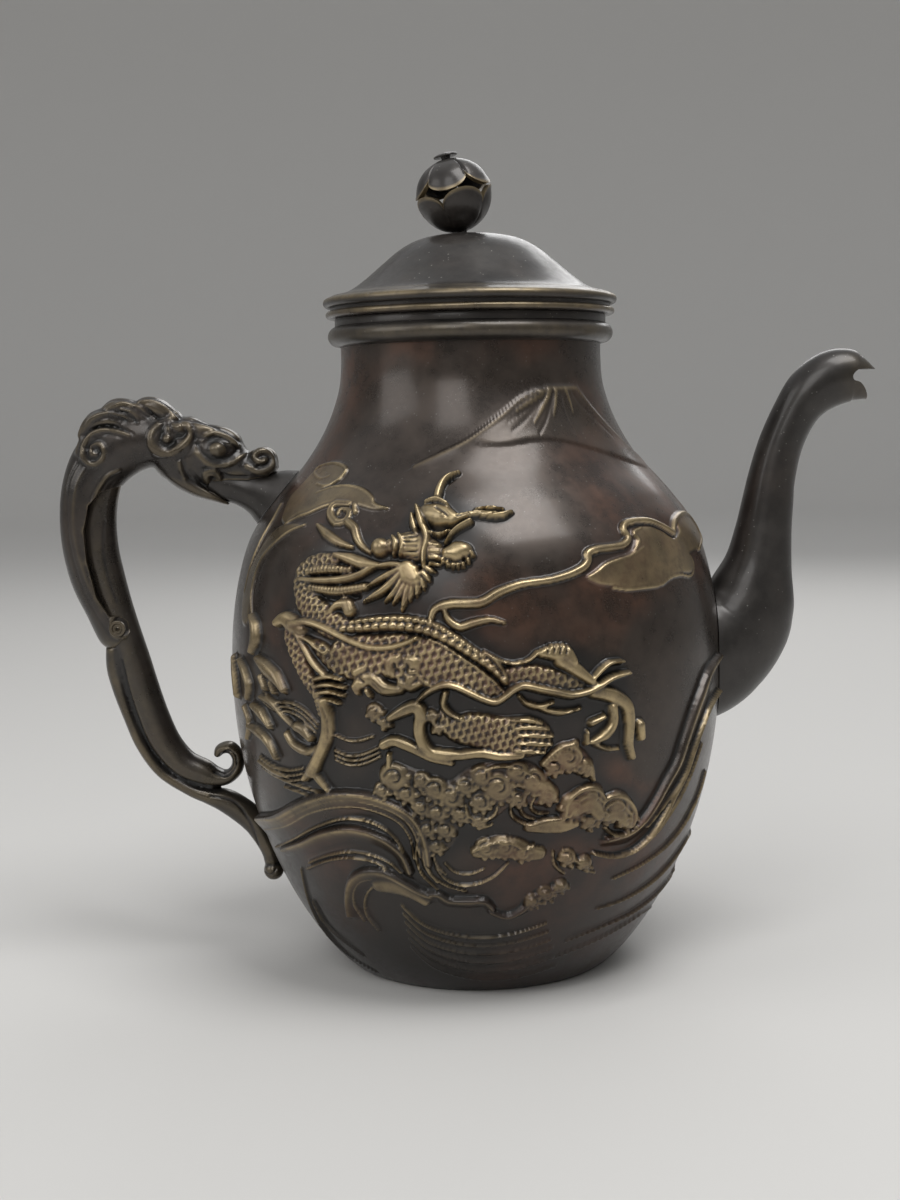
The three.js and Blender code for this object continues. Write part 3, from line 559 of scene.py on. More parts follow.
class Relief:
    """Heights over a skin of points with normals; place turns pixels into points of the skin."""

    def __init__(self, points, normals, place, pixel_size, seen=None):
        self.points, self.normals, self.seen = points, normals, seen
        self.place, self.pixel_size = place, pixel_size
        self.height, self.bright = np.zeros(len(points)), np.zeros(len(points))

    def lay_all(self, strokes, shine=1.0):
        for made in strokes:
            if made.form == "area":
                self.lay_area(made, shine)
            else:
                self.lay(made, shine)

    def around(self, line, margin):
        low, high = line.min(0) - margin, line.max(0) + margin
        return np.flatnonzero(((self.points >= low) & (self.points <= high)).all(1))

    def measure(self, chosen, line):
        """Distance to the line, length along it and side of it, for the chosen points."""
        points, normals = self.points[chosen], self.normals[chosen]
        best = np.full(len(chosen), 1e9)
        along, side = np.zeros(len(chosen)), np.zeros(len(chosen))
        run = 0.0
        for start, end in zip(line, line[1:]):
            step = end - start
            reach = np.linalg.norm(step)
            if reach < 1e-9:
                continue
            off = points - start
            t = np.clip(off @ step / reach ** 2, 0, 1)
            off = off - t[:, None] * step
            distance = np.linalg.norm(off, axis=1)
            closer = distance < best
            best[closer] = distance[closer]
            along[closer] = run + t[closer] * reach
            side[closer] = np.sign(np.einsum("ij,ij->i", np.cross(step, off[closer]), normals[closer]))
            run += reach
        return best, along, side, run

    def raise_to(self, chosen, lift, glow):
        """Raises the chosen points to the lift where that is higher, and gives those the glow."""
        higher = lift > self.height[chosen]
        self.height[chosen[higher]] = lift[higher]
        self.bright[chosen[higher]] = glow[higher]

    def lay(self, made, shine):
        line = self.place(smooth_line(made.points, 6))
        size = float(self.pixel_size(line).mean())
        line = spaced(line, 0.8)
        widest = max(made.half) * size
        chosen = self.around(line, widest * 1.3 + 0.5)
        if not len(chosen):
            return
        distance, along, side, run = self.measure(chosen, line)
        part = along / max(run, 1e-9)
        half = np.interp(part, np.linspace(0, 1, len(made.half)), made.half) * size
        half = np.maximum(half, 0.12)
        q = distance / half
        inside = q < 1
        glow = np.full(len(chosen), shine)
        if made.form == "crest":
            steep = side > 0
            q = np.where(steep, q / np.clip(1.1 / half, 0.22, 1), q)
            inside = q < 1
            glow = shine * np.exp(-(q / 0.3) ** 2)
            lift = np.where(steep, band(np.clip(q, 0, 1)), (1 - np.clip(q, 0, 1)) ** 1.3)
        else:
            q = np.clip(q, 0, 1)
            lift = band(q) if made.form != "rope" else np.sqrt(1 - q * q)
        pitch = made.pitch * size
        if made.form == "hollow":
            lift = lift * (1 - 0.42 * np.exp(-(q / 0.42) ** 2))
        elif made.form == "scales":
            scales = scale_pattern(along, distance * side, pitch)
            lift, glow = lift * (0.55 + 0.45 * scales), shine * scale_wear_and_shadow(scales)
        elif made.form == "ribs":
            lift = lift * (0.62 + 0.38 * rib_pattern(along, pitch))
        elif made.form == "beads":
            lift = np.sqrt(1 - q * q) * (0.45 + 0.55 * np.sqrt(rib_pattern(along, pitch)))
        elif made.form == "comb":
            lift = lift * (0.68 + 0.32 * rib_pattern(distance * side + pitch / 2, pitch))
        if made.form == "groove":
            cut = made.rise * np.exp(-(distance / (0.6 * half)) ** 2)
            self.height[chosen] -= np.where(inside, cut, 0)
        elif made.form == "swell":
            self.height[chosen] += made.rise * np.where(inside, (1 - q * q) ** 2, 0)
        else:
            self.raise_to(chosen[inside], made.rise * lift[inside], glow[inside])

    def lay_area(self, made, shine):
        """A raised field inside a closed line, with a rounded edge."""
        outline = smooth_line(made.points + made.points[:1], 5)
        line = self.place(outline)
        size = float(self.pixel_size(line).mean())
        line = spaced(line, 1.2)
        chosen = self.around(line, 0.5)
        chosen = chosen[inside_line(self.seen[chosen], outline)]
        if not len(chosen):
            return
        distance = self.measure(chosen, line)[0]
        lift = np.sqrt(1 - (1 - np.clip(distance / (made.half[0] * size), 0, 1)) ** 2)
        glow = np.full(len(chosen), shine)
        if made.pitch:
            cos, sin = math.cos(SCALE_TILT), math.sin(SCALE_TILT)
            x, y = self.seen[chosen].T
            scales = scale_pattern(x * cos + y * sin, y * cos - x * sin, made.pitch)
            lift, glow = lift * (0.55 + 0.45 * scales), shine * scale_wear_and_shadow(scales)
        self.raise_to(chosen, made.rise * lift, glow)


# The relief on the body, read from the photograph in its own pixels

MOUNTAIN_AREA = strokes("""
area 0.45|5|470,443 500,419 520,401 534,393 552,389 577,389 592,409 622,441 650,468 600,452 548,440 500,446
""")
MOUNTAIN = strokes("""
crest 0.55|14 7|415,467 440,455 470,440 500,418 520,401 535,393
crest 0.55|7 14 14|576,389 592,410 620,440 655,474 690,512
rope 0.8|2 1.6|535,393 545,390 556,389 566,388 576,389
rope 0.75|3 2.6 1|542,395 530,402 514,413
rope 0.8|2.6 2 0.8|549,391 545,402 534,423
rope 0.8|2.6 1.8 0.8|555,391 555,402 553,416
rope 0.75|2.6 2 0.8|565,391 569,402 572,413
groove 0.3|1.8 1|545,394 538,404 524,421 512,432
groove 0.3|1.8 1|552,393 550,404 545,422 539,434
groove 0.3|1.8 1|560,393 562,405 567,420 575,434
groove 0.25|2 1|571,392 580,405 596,421 612,437
groove 0.2|1.6 1|540,398 526,409 508,421
""")
UPPER_CLOUDS_AREAS = strokes("""
area 0.8|4|282,520 290,500 304,484 318,470 336,464 347,469 343,480 330,487 322,492 336,487 352,487 366,491 \
374,499 376,506 388,509 374,511 362,508 346,504 330,505 319,509 308,514 296,518 286,525
area 0.6|4|286,524 303,524 288,534 272,549 261,566 254,590 249,622 243,622 244,596 250,572 262,548 276,530
""")
UPPER_CLOUDS = strokes("""
rope 1.1|1.4 2.4 1.2|318,485 328,487 340,480 347,470 337,464 322,467 316,474 322,480 331,477
rope 1.1|1.4 2.6 1.4|318,494 334,488 351,487 364,491 372,498 375,505 388,509
rope 1|1.2 2 1.2|286,525 298,518 309,514 320,509 332,505 347,504
hollow 1.5|3.4 4.6 2|350,505 336,505 331,514 337,523 347,521 350,512 342,510 339,515
rope 1.3|3 3|355,506 356,513
band 1.6|4.6 4.4 2|349,523 355,529 358,539 363,547 371,553
band 1.6|2 5 4.6 2|319,526 328,535 340,543 353,548
rope 0.9|1.4 1.4|306,525 287,534 265,555 255,579 252,602 254,632
rope 0.8|1.4 1.2|296,497 306,488 316,484 328,486
rope 0.9|2.4 1.6|282,505 274,520 262,541 252,566 246,592
""")
CLOUD_RIBBON_AREA = strokes("""
area 0.8|4|585,579 595,570 605,562 618,557 630,552 634,540 631,530 646,526 660,531 672,538 677,530 673,519 \
682,513 692,523 699,539 697,549 688,554 692,562 691,573 678,574 669,579 660,586 643,588 626,590 612,587 \
598,585
""")
CLOUD_RIBBON = strokes("""
band 1.7|3.2 5 5 4.6 4 3.8|431,620 434,611 442,606 455,604 468,604 483,602 498,593 519,585 538,582 551,580
band 1.6|3.8 4.4 4 4 3.8 3.6|551,580 568,575 582,568 587,561 587,554 595,550 608,548 621,546 627,539 622,531 \
624,525 633,522 647,522 660,527 670,533
band 1.3|3 3 3.4 2.4 1.4|672,534 673,522 679,515 686,516 694,527 699,540 697,550
band 1.7|2.6 4.2 4.4 3.6 2|445,611 448,619 459,627 474,623 490,620 504,623
rope 1.2|1.6 1.6 1|634,550 638,541 632,534 640,528
rope 1.1|1.4 1.8 1.4|588,577 597,572 606,565 618,560 630,556 642,548
rope 1.1|1.2 1.6 1.2|612,588 628,590 644,588 660,585 668,579 678,575 690,576 692,565 688,555
""")
DRAGON_AREAS = strokes("""
area 2.5|7|352,634 378,634 400,633 420,635 440,643 460,654 480,666 502,689 498,698 480,696 462,688 446,683 \
430,690 420,684 408,684 388,678 368,676 350,672 338,660 330,650 338,640|9.4
area 2|5|306,637 322,640 340,652 366,662 380,672 360,680 336,674 318,656|9.4
area 2.6|9|440,706 452,716 468,712 484,713 500,716 514,716 528,716 541,720 549,727 552,737 548,748 536,755 \
518,757 500,754 482,749 462,744 446,736 439,722|8.4
area 1.9|6|503,668 516,665 530,664 552,668 574,676 592,688 584,692 560,690 530,684 508,688|8.4
""")
SCALE_TILT = 0.35
DRAGON_NECK = strokes("""
scales 2.3|6 9 13 15 15 13|338,560 319,562 306,573 305,590 311,606 327,621 346,631|8.2
ribs 2.7|4.6 5 4|312,572 330,570 352,571|4.6
rope 3.1|3 6.4 7 3|338,556 352,560 366,565 380,566
rope 2.9|2.4 4.4 5 3|304,580 330,581 354,578 376,568
ribs 2.3|4 5.4 4|314,588 340,591 368,587|4
band 2.4|1.6 4 7 7|331,614 338,606 347,603 351,611
groove 1.2|2.4 2.4|322,597 338,600 360,597
""")
DRAGON_HEAD = strokes("""
rope 2.7|9 15 16 12|394,546 406,545 420,548 434,553
rope 3.1|12 14 12 8|429,515 438,516 446,518 454,521
rope 3.7|3 4.6 4.4 4 2.6|418,510 422,524 428,540 425,555 425,568
rope 3.5|2.4 3.6 2.4|427,506 437,503 448,508
groove 1|1.4 2.2 1.4|437,512 443,516 449,521
rope 3.5|2.6 2.8|443,519 444,520
groove 1.2|1.6 2 1.6|425,527 435,531 445,531 453,528
rope 3|2.4 4.4 3|413,517 414,525 417,534
band 2.5|4 4.4 3.6 2.4 1|437,504 440,491 445,482 452,477 460,474
groove 0.9|1.2 1.2|441,499 446,486 454,479
band 2.7|7 4.6 3 3.8 4.4 3.4 0.6|452,522 463,519 472,516 482,516 492,517 502,517 513,513
groove 1.2|1.2 1.6 1.4 1|458,520 472,516 486,517 502,515
groove 0.9|1 1.4 1|478,513 490,514 504,512
rope 2.2|1.6 1.4 0.8|476,511 490,509 503,510
rope 3.2|3.6 3.2 2.6 1.8|470,524 459,530 452,536 446,545
rope 3.1|2 2.4 1.6|431,535 440,537 450,533
rope 3.6|9.8 9.8|381,548 382,549
rope 3.1|1.6 2 1.6|394,538 398,546 395,556
rope 3.2|1.6 2 1.6|400,536 405,546 401,557
groove 0.8|1.2 1.4 1.2|391,538 394,546 391,557
groove 0.8|1.2 1.4 1.2|397,536 401,546 398,558
""") + tuple(
    Stroke("groove", 0.9, (1.0, 1.2), ((406, 537 + 4 * k), (419, 534 + 5 * k))) for k in range(6)
) + tuple(
    Stroke("rope", 3.2, (2.4, 1.8), ((431, 547 + 6 * k), (440, 548 + 6 * k))) for k in range(4)
) + strokes("rope 3.6|8 12 12 9|449,555 455,554 461,552 464,552") + tuple(
    Stroke("rope", 3.5, (2.8, 2.6), ((x, y), (x + 0.6, y + 2)))
    for x, y in places("443,561 448,564 453,566 458,566 463,565 468,561 472,555")
)
DRAGON_MANE = tuple(
    Stroke("rope", 3.3 - 0.05 * i, (0.8 * half, half, 0.8 * half, 0.8), places(lock))
    for i, (half, lock) in enumerate((
        (4.0, "402,566 388,566 376,569"), (4.6, "402,570 386,578 369,588"), (5.4, "402,575 386,590 365,603"),
        (4.4, "405,578 397,592 386,603"), (4.2, "408,582 402,594 394,605"), (4.8, "411,583 407,598 403,612"),
        (3.8, "414,583 413,594 411,602"), (4.4, "417,580 419,590 417,598"), (4.0, "420,577 424,584 425,591"),
        (3.8, "423,573 428,578 431,583"), (3.6, "425,568 431,571 436,573"),
    ))
) + strokes("band 3.6|10 13 9|408,571 411,575 415,579")
DRAGON_BACK = strokes("""
beads 3|3.4 4 3.6 2.6|354,623 374,620 399,619 419,621 436,626 452,635 470,647 484,657 496,669|7.6
beads 3.4|4.4 5 5 4.6 3.6|346,629 367,628 390,626 414,628 431,632 446,639 460,647 474,656 486,664 498,674 \
505,682|9
rope 2.9|1.2 1.4 1.2|430,639 447,647 463,658 480,670 493,680 503,691
rope 3|1.6 2.8 2.4 1.2|484,652 494,659 501,668 507,679
rope 2.6|1.6 2.2 2.6|492,656 504,662 516,663 528,660 537,652
band 3|5 9 9.4 6|541,653 551,652 563,653 571,661
band 2.8|8 7 4|560,660 577,671 593,684
""") + tuple(
    Stroke("groove", 1.3, (1.3, 1.0), ((547 + 6 * i, 643), (545 + 6 * i, 653))) for i in range(4)
)
DRAGON_RIBBONS = strokes("""
band 3.1|5 8 10 7|281,623 288,619 296,624 305,630
rope 3.7|5 4.6 4.6 4.2 4 2.6|296,624 309,622 324,626 338,633 352,640 366,646 380,648 394,647 408,643 418,638
groove 0.7|1 1.2 1|318,627 336,636 352,644 368,650
rope 2.9|4 3 2|300,634 313,641 319,647 328,653
rope 3.8|2 4.8 4.4 4.2 4.6 4.8 4.6 4 3|419,700 431,690 445,684 457,686 470,692 483,698 495,701 504,696 \
513,689 523,685 538,688 553,691 569,694 584,691 596,685 609,677 625,672
groove 0.6|0.9 1.1 0.9|424,698 436,690 448,688 462,692 478,699
rope 3.1|2.6 3.4 2|590,679 600,668 609,662 621,661
rope 3.3|3.6 3.4 2|446,692 444,704 451,713 462,718
rope 2.2|1.6 3.2 2.2|518,695 526,703 539,706 552,702
rope 2.2|1.6 3.4 1.8|530,703 546,710 562,712 579,708
rope 2.9|2 1.4|418,672 428,683 440,688
""")
DRAGON_FRONT_LEG = strokes("""
scales 2.9|10 10.5 9 7|293,633 300,654 309,675 319,692|8.4
rope 3.3|2.4 4.2 4.2 3|301,634 310,650 318,664 329,675
rope 3.3|3 3.4 2.2|318,679 331,676 344,679
rope 3.3|3 3.4 2.2|318,686 332,684 347,687
rope 3.3|3 3.4 2.2|319,693 333,691 346,695
rope 3.2|3 3 2|321,700 332,699 342,703
ribs 2.9|6 5|321,696 325,712|4
rope 3.4|7.4 8 7.4 7 8.4|327,702 330,716 330,731 326,745 320,759 315,770
rope 3|8 6 4|318,764 313,771 308,777
rope 2.7|5 4 2|316,770 324,781 331,789
groove 0.8|1.4 1|328,706 333,722 332,740
""")
DRAGON_HIND_LEGS = strokes("""
band 3.3|4 6.4 7 6.4 6.4 6 5|392,717 405,710 417,706 422,714 420,728 424,742 434,752 452,755
band 3.1|6 5.4 5 4|436,752 458,754 480,752 500,755 520,754
band 2.8|5.4 6 5.4 3|385,744 395,740 407,744 420,750 434,757 452,762
rope 3.2|2.4 3.6 2|512,719 526,719 540,722
rope 3.2|2.4 3.6 2|516,727 531,726 547,728
rope 3.2|2.4 3.6 2|519,734 534,734 551,735
rope 3.2|2.4 3.6 2|518,742 533,742 550,743
rope 3.2|2.4 3.6 2|515,749 529,750 543,751
rope 2.3|3 3|390,754 390,765
band 2.7|7 8 7 5.6 4.4|591,691 604,693 616,698 625,706 627,722 626,742 629,755
rope 2.8|5.4 6 6.4 3|611,706 611,722 603,734 589,741
rope 2.6|4.4 3|590,722 602,716
rope 2.4|3.4 2|585,742 586,731
rope 2.6|6 5|638,724 639,736
rope 2.2|3 2|592,742 604,748 616,748
""")
CLOUD_PAWS = strokes("""
rope 2.8|7 9 8 5|360,684 372,678 386,688 401,689
rope 2.9|5.4 5|358,672 366,668
rope 2.9|4.4 3.6|357,686 360,692
rope 3|3.6 3|369,690 372,695
rope 2.8|5 7 6|391,672 392,661 399,658
groove 1|2 2|396,664 398,670
rope 3.1|7 8.6 7.6 5|411,660 416,662 414,673 409,684
groove 0.9|1.2 1.2|408,663 411,668 418,668
groove 0.9|1.2 1.2|407,669 411,674 418,674
rope 2.8|5 6 4|402,682 411,686 421,683
groove 1|2.4 2.4|363,678 367,681
groove 0.8|1.2 1.4|376,683 383,691
""")
LEFT_SPRAYS = strokes("""
rope 2.8|2 7 8 4|255,615 258,627 258,640 255,651
rope 2.8|4 9 8.4 4|261,658 269,668 279,678 287,690
rope 2.9|4 3|265,676 269,688
rope 2.9|3.4 2.6|275,682 278,692
rope 2.5|2.4 5.6 5.4 2.4|243,659 248,672 252,686 251,698
rope 2.3|2 5 4.6|237,655 238,674 240,694
rope 2.4|3 5 3.6 2.4|264,696 276,703 287,716 298,727
rope 2.5|4 7 3.4|256,705 265,714 273,726
rope 2.4|3 6.4 6 3|252,725 263,733 272,743 279,757
rope 2.9|6 7 5|300,726 306,729 313,737
rope 2.6|4 5.4 4|290,733 297,744 310,751 320,747
groove 1.2|1.6 2.4 1.6|303,737 309,741 316,745
rope 2|3 4.4 2|247,706 252,722 250,738
rope 1.9|3 4.4 2|262,760 276,770 290,776
""")
WATER_LINES = tuple(
    Stroke("rope", 1.6, (1.4, 1.8, 1.3), tuple((x + dx * k, y + dy * k) for x, y in places(line)))
    for line, count, dx, dy in (
        ("265,690 278,701 293,703 306,710 319,724", 3, -1.0, 4.2),
        ("262,756 275,765 289,770 304,768", 3, 1.0, 5.0),
        ("337,735 349,740 361,740 374,736", 1, 0, 0),
        ("336,750 349,755 364,754 380,747", 3, 0.4, 4.6),
        ("286,780 300,785 316,790 330,792", 2, 0, 6),
    )
    for k in range(count)
)
LEFT_WAVES = strokes("""
crest 2.6|24 34 30 22 12|262,818 280,817 300,806 322,797 345,794 368,795 390,802 408,811 420,824 427,842 \
430,862
rope 3|1.6 2.6 2.8 1.6|262,817 282,816 302,805 325,796 348,793 370,795 392,802 410,812 421,826 427,844
rope 2.2|1 1.3 1|262,822 284,820 304,810 326,801 350,798 372,802 392,809 408,820 417,836 421,856
rope 1.9|1 1.2 1|268,828 290,824 312,812 336,806 360,806 382,812 400,822 411,838 415,858
rope 2|1 1.6 1|278,846 296,838 318,826 344,818 368,820 388,830 402,846 409,864
rope 2.1|1 1.4 1|421,832 417,850 422,872 438,888
rope 1.9|1 1.2 1|428,838 424,854 430,872 446,884 466,890
crest 2.4|10 18 18 10|286,848 306,841 326,832 350,828 372,832 390,841 404,854 411,870
rope 1.8|0.9 1.2 0.9|310,862 328,855 350,851 372,854 390,862 402,872
rope 1.8|0.9 1.2 0.9|308,868 328,860 350,857 372,860 388,868 398,878
crest 2.6|10 20 22 14|352,912 350,894 354,878 368,870 386,871 404,880 418,888 430,893
rope 1.7|1 1.3 1|366,920 357,905 356,890 362,880 374,877
rope 1.5|1 1.3 1|380,930 368,914 366,898 374,886 388,883
rope 1.3|1 1.4 1|314,900 326,922 344,940 364,955
rope 1.2|1 1.3 1|302,868 310,900 326,930 350,955 378,972
""")
RIGHT_WAVES = strokes("""
crest 2.4|10 18 26 30 16|606,838 626,832 641,819 653,802 664,782 675,762 683,738 691,714 699,692 706,672 \
716,656
rope 2.7|2 2.4 2 1.6|716,656 706,672 699,692 691,714 683,738 675,762 664,782 653,802 641,819 626,831 612,833 \
603,826
rope 2.6|2 2.4 2.4 1.8|716,690 706,706 698,726 690,748 682,772 671,794 660,816 648,834 631,849 611,855 \
592,852
rope 1.8|1 1.3 1|710,700 700,722 692,746 683,770 672,790 660,808 646,826
rope 1.6|1 1.4 1|704,770 696,796 682,824 664,846 640,864 612,878
rope 1.9|1 1.5 1|700,742 691,768 679,794 664,818 648,838 628,850 604,856
rope 1.4|1 1.8 1|690,830 674,856 652,880 624,898 596,908
rope 1.4|1 1.8 1|676,866 656,892 630,912 600,926 566,940
rope 1.3|1 1.6 1|650,906 620,926 590,942 556,956
""")
LOWER_WAVES = strokes("""
crest 2.5|6 13 14 8|426,893 438,892 450,898 466,899 484,899 492,906
crest 2.2|4 9 8|490,910 506,915 522,908 534,896 548,889 560,888
rope 1.7|1 1.8 1|436,866 446,878 462,884 480,882 496,874 508,862
rope 1.6|1 1.4 1|445,862 455,871 470,873 484,868
rope 1.6|1 1.4 1|434,848 436,862 446,874
rope 1.5|1 1.4 1|426,846 428,866 438,882
rope 1.5|1 1.4 1|552,850 554,864 564,873
rope 1.5|1 1.4 1|562,848 564,860 572,868
rope 1.5|1 1.6 1|572,852 580,866 594,872
rope 2.2|8 12 10 5|380,884 396,884 412,890 426,900
""") + tuple(
    Stroke("rope", 1.6 - 0.1 * k, (1.2, 2.0, 1.2), tuple(
        (x + 2 * k, y + 8.5 * k) for x, y in places("402,904 422,922 448,932 480,936 514,932 546,922")))
    for k in range(6)
)
SEA_FOAM = strokes("""
band 1.9|8 13 12 8|478,850 494,846 512,847 526,851 538,852
rope 2.9|1.4 2 1.4|472,849 484,843 498,839 513,841 523,846 533,843
rope 2.4|1.2 1.8 1.4|516,794 510,804 512,815 523,822 538,823 549,818 563,817
rope 1.9|1 1.4 1|526,794 520,805 524,815 534,818
rope 1.9|1 1.4 1|534,796 530,805 536,812 548,812
band 2.4|5 9 9 4|528,826 546,824 562,824 574,822
hollow 2.9|5 7 7 4|566,812 570,800 582,791 594,791 601,798
band 2.8|7 10 8|574,808 588,802 596,812
hollow 2.8|5 7 7 5|600,806 608,798 621,800 630,812 628,822
band 2.6|7 9 6|604,814 616,812 622,820
ribs 2.4|3 6 5|542,763 556,752 574,744|4
hollow 2.5|4 6 4|558,759 560,750 570,748 577,755 572,762
band 2.3|3 5.4 2|582,760 588,768 592,779
hollow 2.5|3 4 2|488,780 496,776 506,780 507,790 498,795 490,790 494,784
rope 2.4|1.4 2.2 1.4|478,775 490,767 506,765 520,768 532,774
rope 2.4|1.4 2 1.4|466,804 468,813 479,818 492,815 497,806
rope 2.2|1.2 1.8 1.2|472,822 482,826 492,823
band 2.5|6 7 6|536,782 546,786 550,794
band 2.4|5 6 5|432,790 446,794 454,792
""")
FOAM_BEDS = strokes("""
area 0.9|6|382,776 398,764 424,772 447,781 464,770 482,762 506,757 532,763 549,776 556,792 547,805 528,804 \
511,806 500,814 480,828 463,822 455,842 441,854 424,840 419,822 409,806 394,800 380,790
area 0.9|6|558,764 563,750 574,744 586,752 594,768 586,776 572,772
""")
FOAM_CLUMPS = places("""
396,778,16 384,790,9 408,793,11 423,780,9 436,789,13 452,797,13 466,786,10 422,807,10 438,812,11 428,828,10
446,829,10 437,845,9 461,814,10 482,776,12 498,787,17 517,772,12 533,781,14 547,794,11 517,798,9 481,802,11
479,819,8 566,757,15 553,767,9 584,766,9 573,806,15 590,796,14 601,813,10 615,806,16 625,819,11 588,820,9
486,847,11 504,846,12 521,851,10 566,856,9 583,861,8 545,892,9 532,899,8 560,884,7 376,712,9 386,722,7 432,716,7
438,728,6
""")
FOAM_SEED = 11

# The far side isn't seen in the photograph: clouds above and waves below, as angles from the spout and heights
BACK_WAVES = (
    (8, 62, 34), (38, 74, 40), (70, 60, 36), (102, 78, 44), (136, 64, 38), (166, 76, 34),
)
BACK_CLOUDS = ((52, 150, 1), (96, 128, -1), (138, 148, 1))

SHOULDER = ((0.154, 0.985), (0.308, 0.92), (0.442, 0.803), (0.558, 0.587), (0.673, 0.32), (0.788, 0.133),
            (0.904, 0.023), (1, 0))
FLANK_SQUARENESS = 0.81
PLATE_TOP = 3.8
PLATE_BOTTOM = 1.6
LEDGE_TOP = 6.7
LEDGE_WIDTH = 2.6
GAP = 0.3


def body_outline(body):
    """The outer outline of the body from foot to neck, as radius and height."""
    t = np.linspace(0, 1, 300) ** 1.5
    swell = (1 - (1 - t) ** 2) ** FLANK_SQUARENESS
    flank = np.column_stack([body.foot_radius + (body.belly_radius - body.foot_radius) * swell,
                             body.belly_height * t])
    per_span = 40
    (first_share, first_swell) = SHOULDER[0]
    shares = smooth_line(((-first_share, first_swell), (0, 1), *SHOULDER), per_span)[per_span + 1:]
    shoulder = np.column_stack([
        body.neck_radius + (body.belly_radius - body.neck_radius) * shares[:, 1],
        body.belly_height + (body.neck_height - body.belly_height) * shares[:, 0]])
    return np.vstack([flank, shoulder, [[body.neck_radius, body.neck_top]]])


def outline_normals(outline):
    run = unit(np.gradient(outline, axis=0))
    return np.stack([run[:, 1], -run[:, 0]], -1)


# Heights, and angles round the body, at which the spacing of the rows and columns changes
ROW_STOPS = (0, 16, 24, 168, 178)
TURN_STOPS = (-190, -172, -160, -22, -12, 4, 16, 150, 170)


def graded(run, weights):
    """Places along a run, spaced by the steps that the weights ask for."""
    count = np.concatenate([[0], np.cumsum(np.diff(run) / ((weights[1:] + weights[:-1]) / 2))])
    steps = int(math.ceil(count[-1]))
    return np.interp(np.linspace(0, count[-1], steps + 1), count, run)


def graded_outline(body):
    """The outline with close rows where the dragon lies and wider ones above and below it."""
    outline = spaced(body_outline(body), 0.1)
    run = np.concatenate([[0], np.cumsum(np.linalg.norm(np.diff(outline, axis=0), axis=1))])
    steps = np.interp(outline[:, 1], (*ROW_STOPS, body.neck_top),
                      (body.plain_step, body.plain_step, body.fine_step, body.fine_step, body.plain_step,
                       2 * body.plain_step))
    places = graded(run, steps)
    return np.column_stack([np.interp(places, run, column) for column in outline.T])


def graded_turn(body):
    """Angles round the body, close together where the dragon lies and wide apart on the far side."""
    angles = np.linspace(TURN_STOPS[0], TURN_STOPS[-1], 3601)
    steps = np.interp(angles, TURN_STOPS,
                      (body.plain_step, body.plain_step, body.fine_step, body.fine_step, body.plain_step,
                       body.plain_step, body.back_step, body.back_step, body.plain_step))
    return np.radians(graded(angles, np.degrees(steps / body.belly_radius))[:-1])


def skin_radius(body, grow=0.0):
    """A function that gives the body's outer radius at any height."""
    outline = body_outline(body)
    return lambda z: np.interp(z, outline[:, 1], outline[:, 0]) + grow


def body_solid(body, grow):
    """A plain solid with the body's outside, grown by a little, to cut other pieces with."""
    outline = spaced(body_outline(body), 1.6)
    outline = outline + outline_normals(outline) * grow
    return turned("cutter_body", [(0, -2), (outline[0, 0], -2), *outline, (0, outline[-1, 1])], 160, None)


def spout_stations(body, spout):
    """Stations of the spout, set out from its root height by its reach and rise."""
    shares = (
        (-0.33, 0.19, 25, 26, 20), (-0.1, 0.21, 23.4, 23.8, 18.5), (0.04, 0.24, 20.4, 20.8, 16.5),
        (0.142, 0.282, 17.6, 18.2, 14.8), (0.198, 0.33, 15.6, 16.2, 13.4), (0.231, 0.377, 13.9, 14.3, 12.2),
        (0.268, 0.444, 11.2, 11.3, 10.6), (0.299, 0.528, 9.5, 9.5, 9.4), (0.325, 0.603, 8.6, 8.6, 8.7),
        (0.349, 0.667, 7.9, 7.9, 8.2), (0.405, 0.756, 7.4, 7.4, 7.7), (0.493, 0.837, 7.5, 7.5, 7.6),
        (0.59, 0.892, 8.6, 8.6, 8), (0.707, 0.925, 9.4, 9.3, 8.2), (0.815, 0.937, 8.9, 9.1, 7.8),
        (0.888, 0.937, 7.2, 8.4, 6.9), (0.944, 0.937, 4.7, 8.2, 5), (1, 0.937, 1.7, 8.2, 1.8),
    )
    return [(body.belly_radius + u * spout.reach, spout.root_height + v * spout.rise, left, right, half)
            for u, v, left, right, half in shares]


BEAK = ((1.02, 0.9505), (0.9, 0.952), (0.86, 0.949), (0.83, 0.936), (0.837, 0.923), (0.88, 0.916), (0.922, 0.895),
        (0.942, 0.868), (0.95, 0.8), (1.2, 0.8), (1.2, 0.9505))
POUR_HOLE_RADIUS = 14
POUR_HOLE_HEIGHT = 105.1


def slab(name, outline, half_width):
    """A side outline pushed out to both sides of Y."""
    outline = np.asarray(outline, float)
    count = len(outline)
    points = np.vstack([np.insert(outline, 1, side * half_width, axis=1) for side in (-1, 1)])
    faces = [list(range(count)), list(range(2 * count - 1, count - 1, -1))]
    faces += [[k, k + count, (k + 1) % count + count, (k + 1) % count] for k in range(count)]
    return solid_object(name, [(points, faces)])


def solid_object(name, parts, sharp=None):
    """One object from overlapping closed parts, each with its faces pointing outward."""
    made = make_object(name, *joined(parts), sharp)
    work = bmesh.new()
    work.from_mesh(made.data)
    bmesh.ops.recalc_face_normals(work, faces=work.faces)
    work.to_mesh(made.data)
    work.free()
    return made


def sculpted(name, parts, grain, rounds=2):
    """One even skin round overlapping forms, as wax is built up and smoothed."""
    made = solid_object(name, parts)
    with_modifier(made, "REMESH", mode="VOXEL", voxel_size=grain * MM, use_smooth_shade=True)
    mesh = made.data
    set_points(mesh, averaged(vertex_points(mesh), edge_pairs(mesh), rounds))
    return made


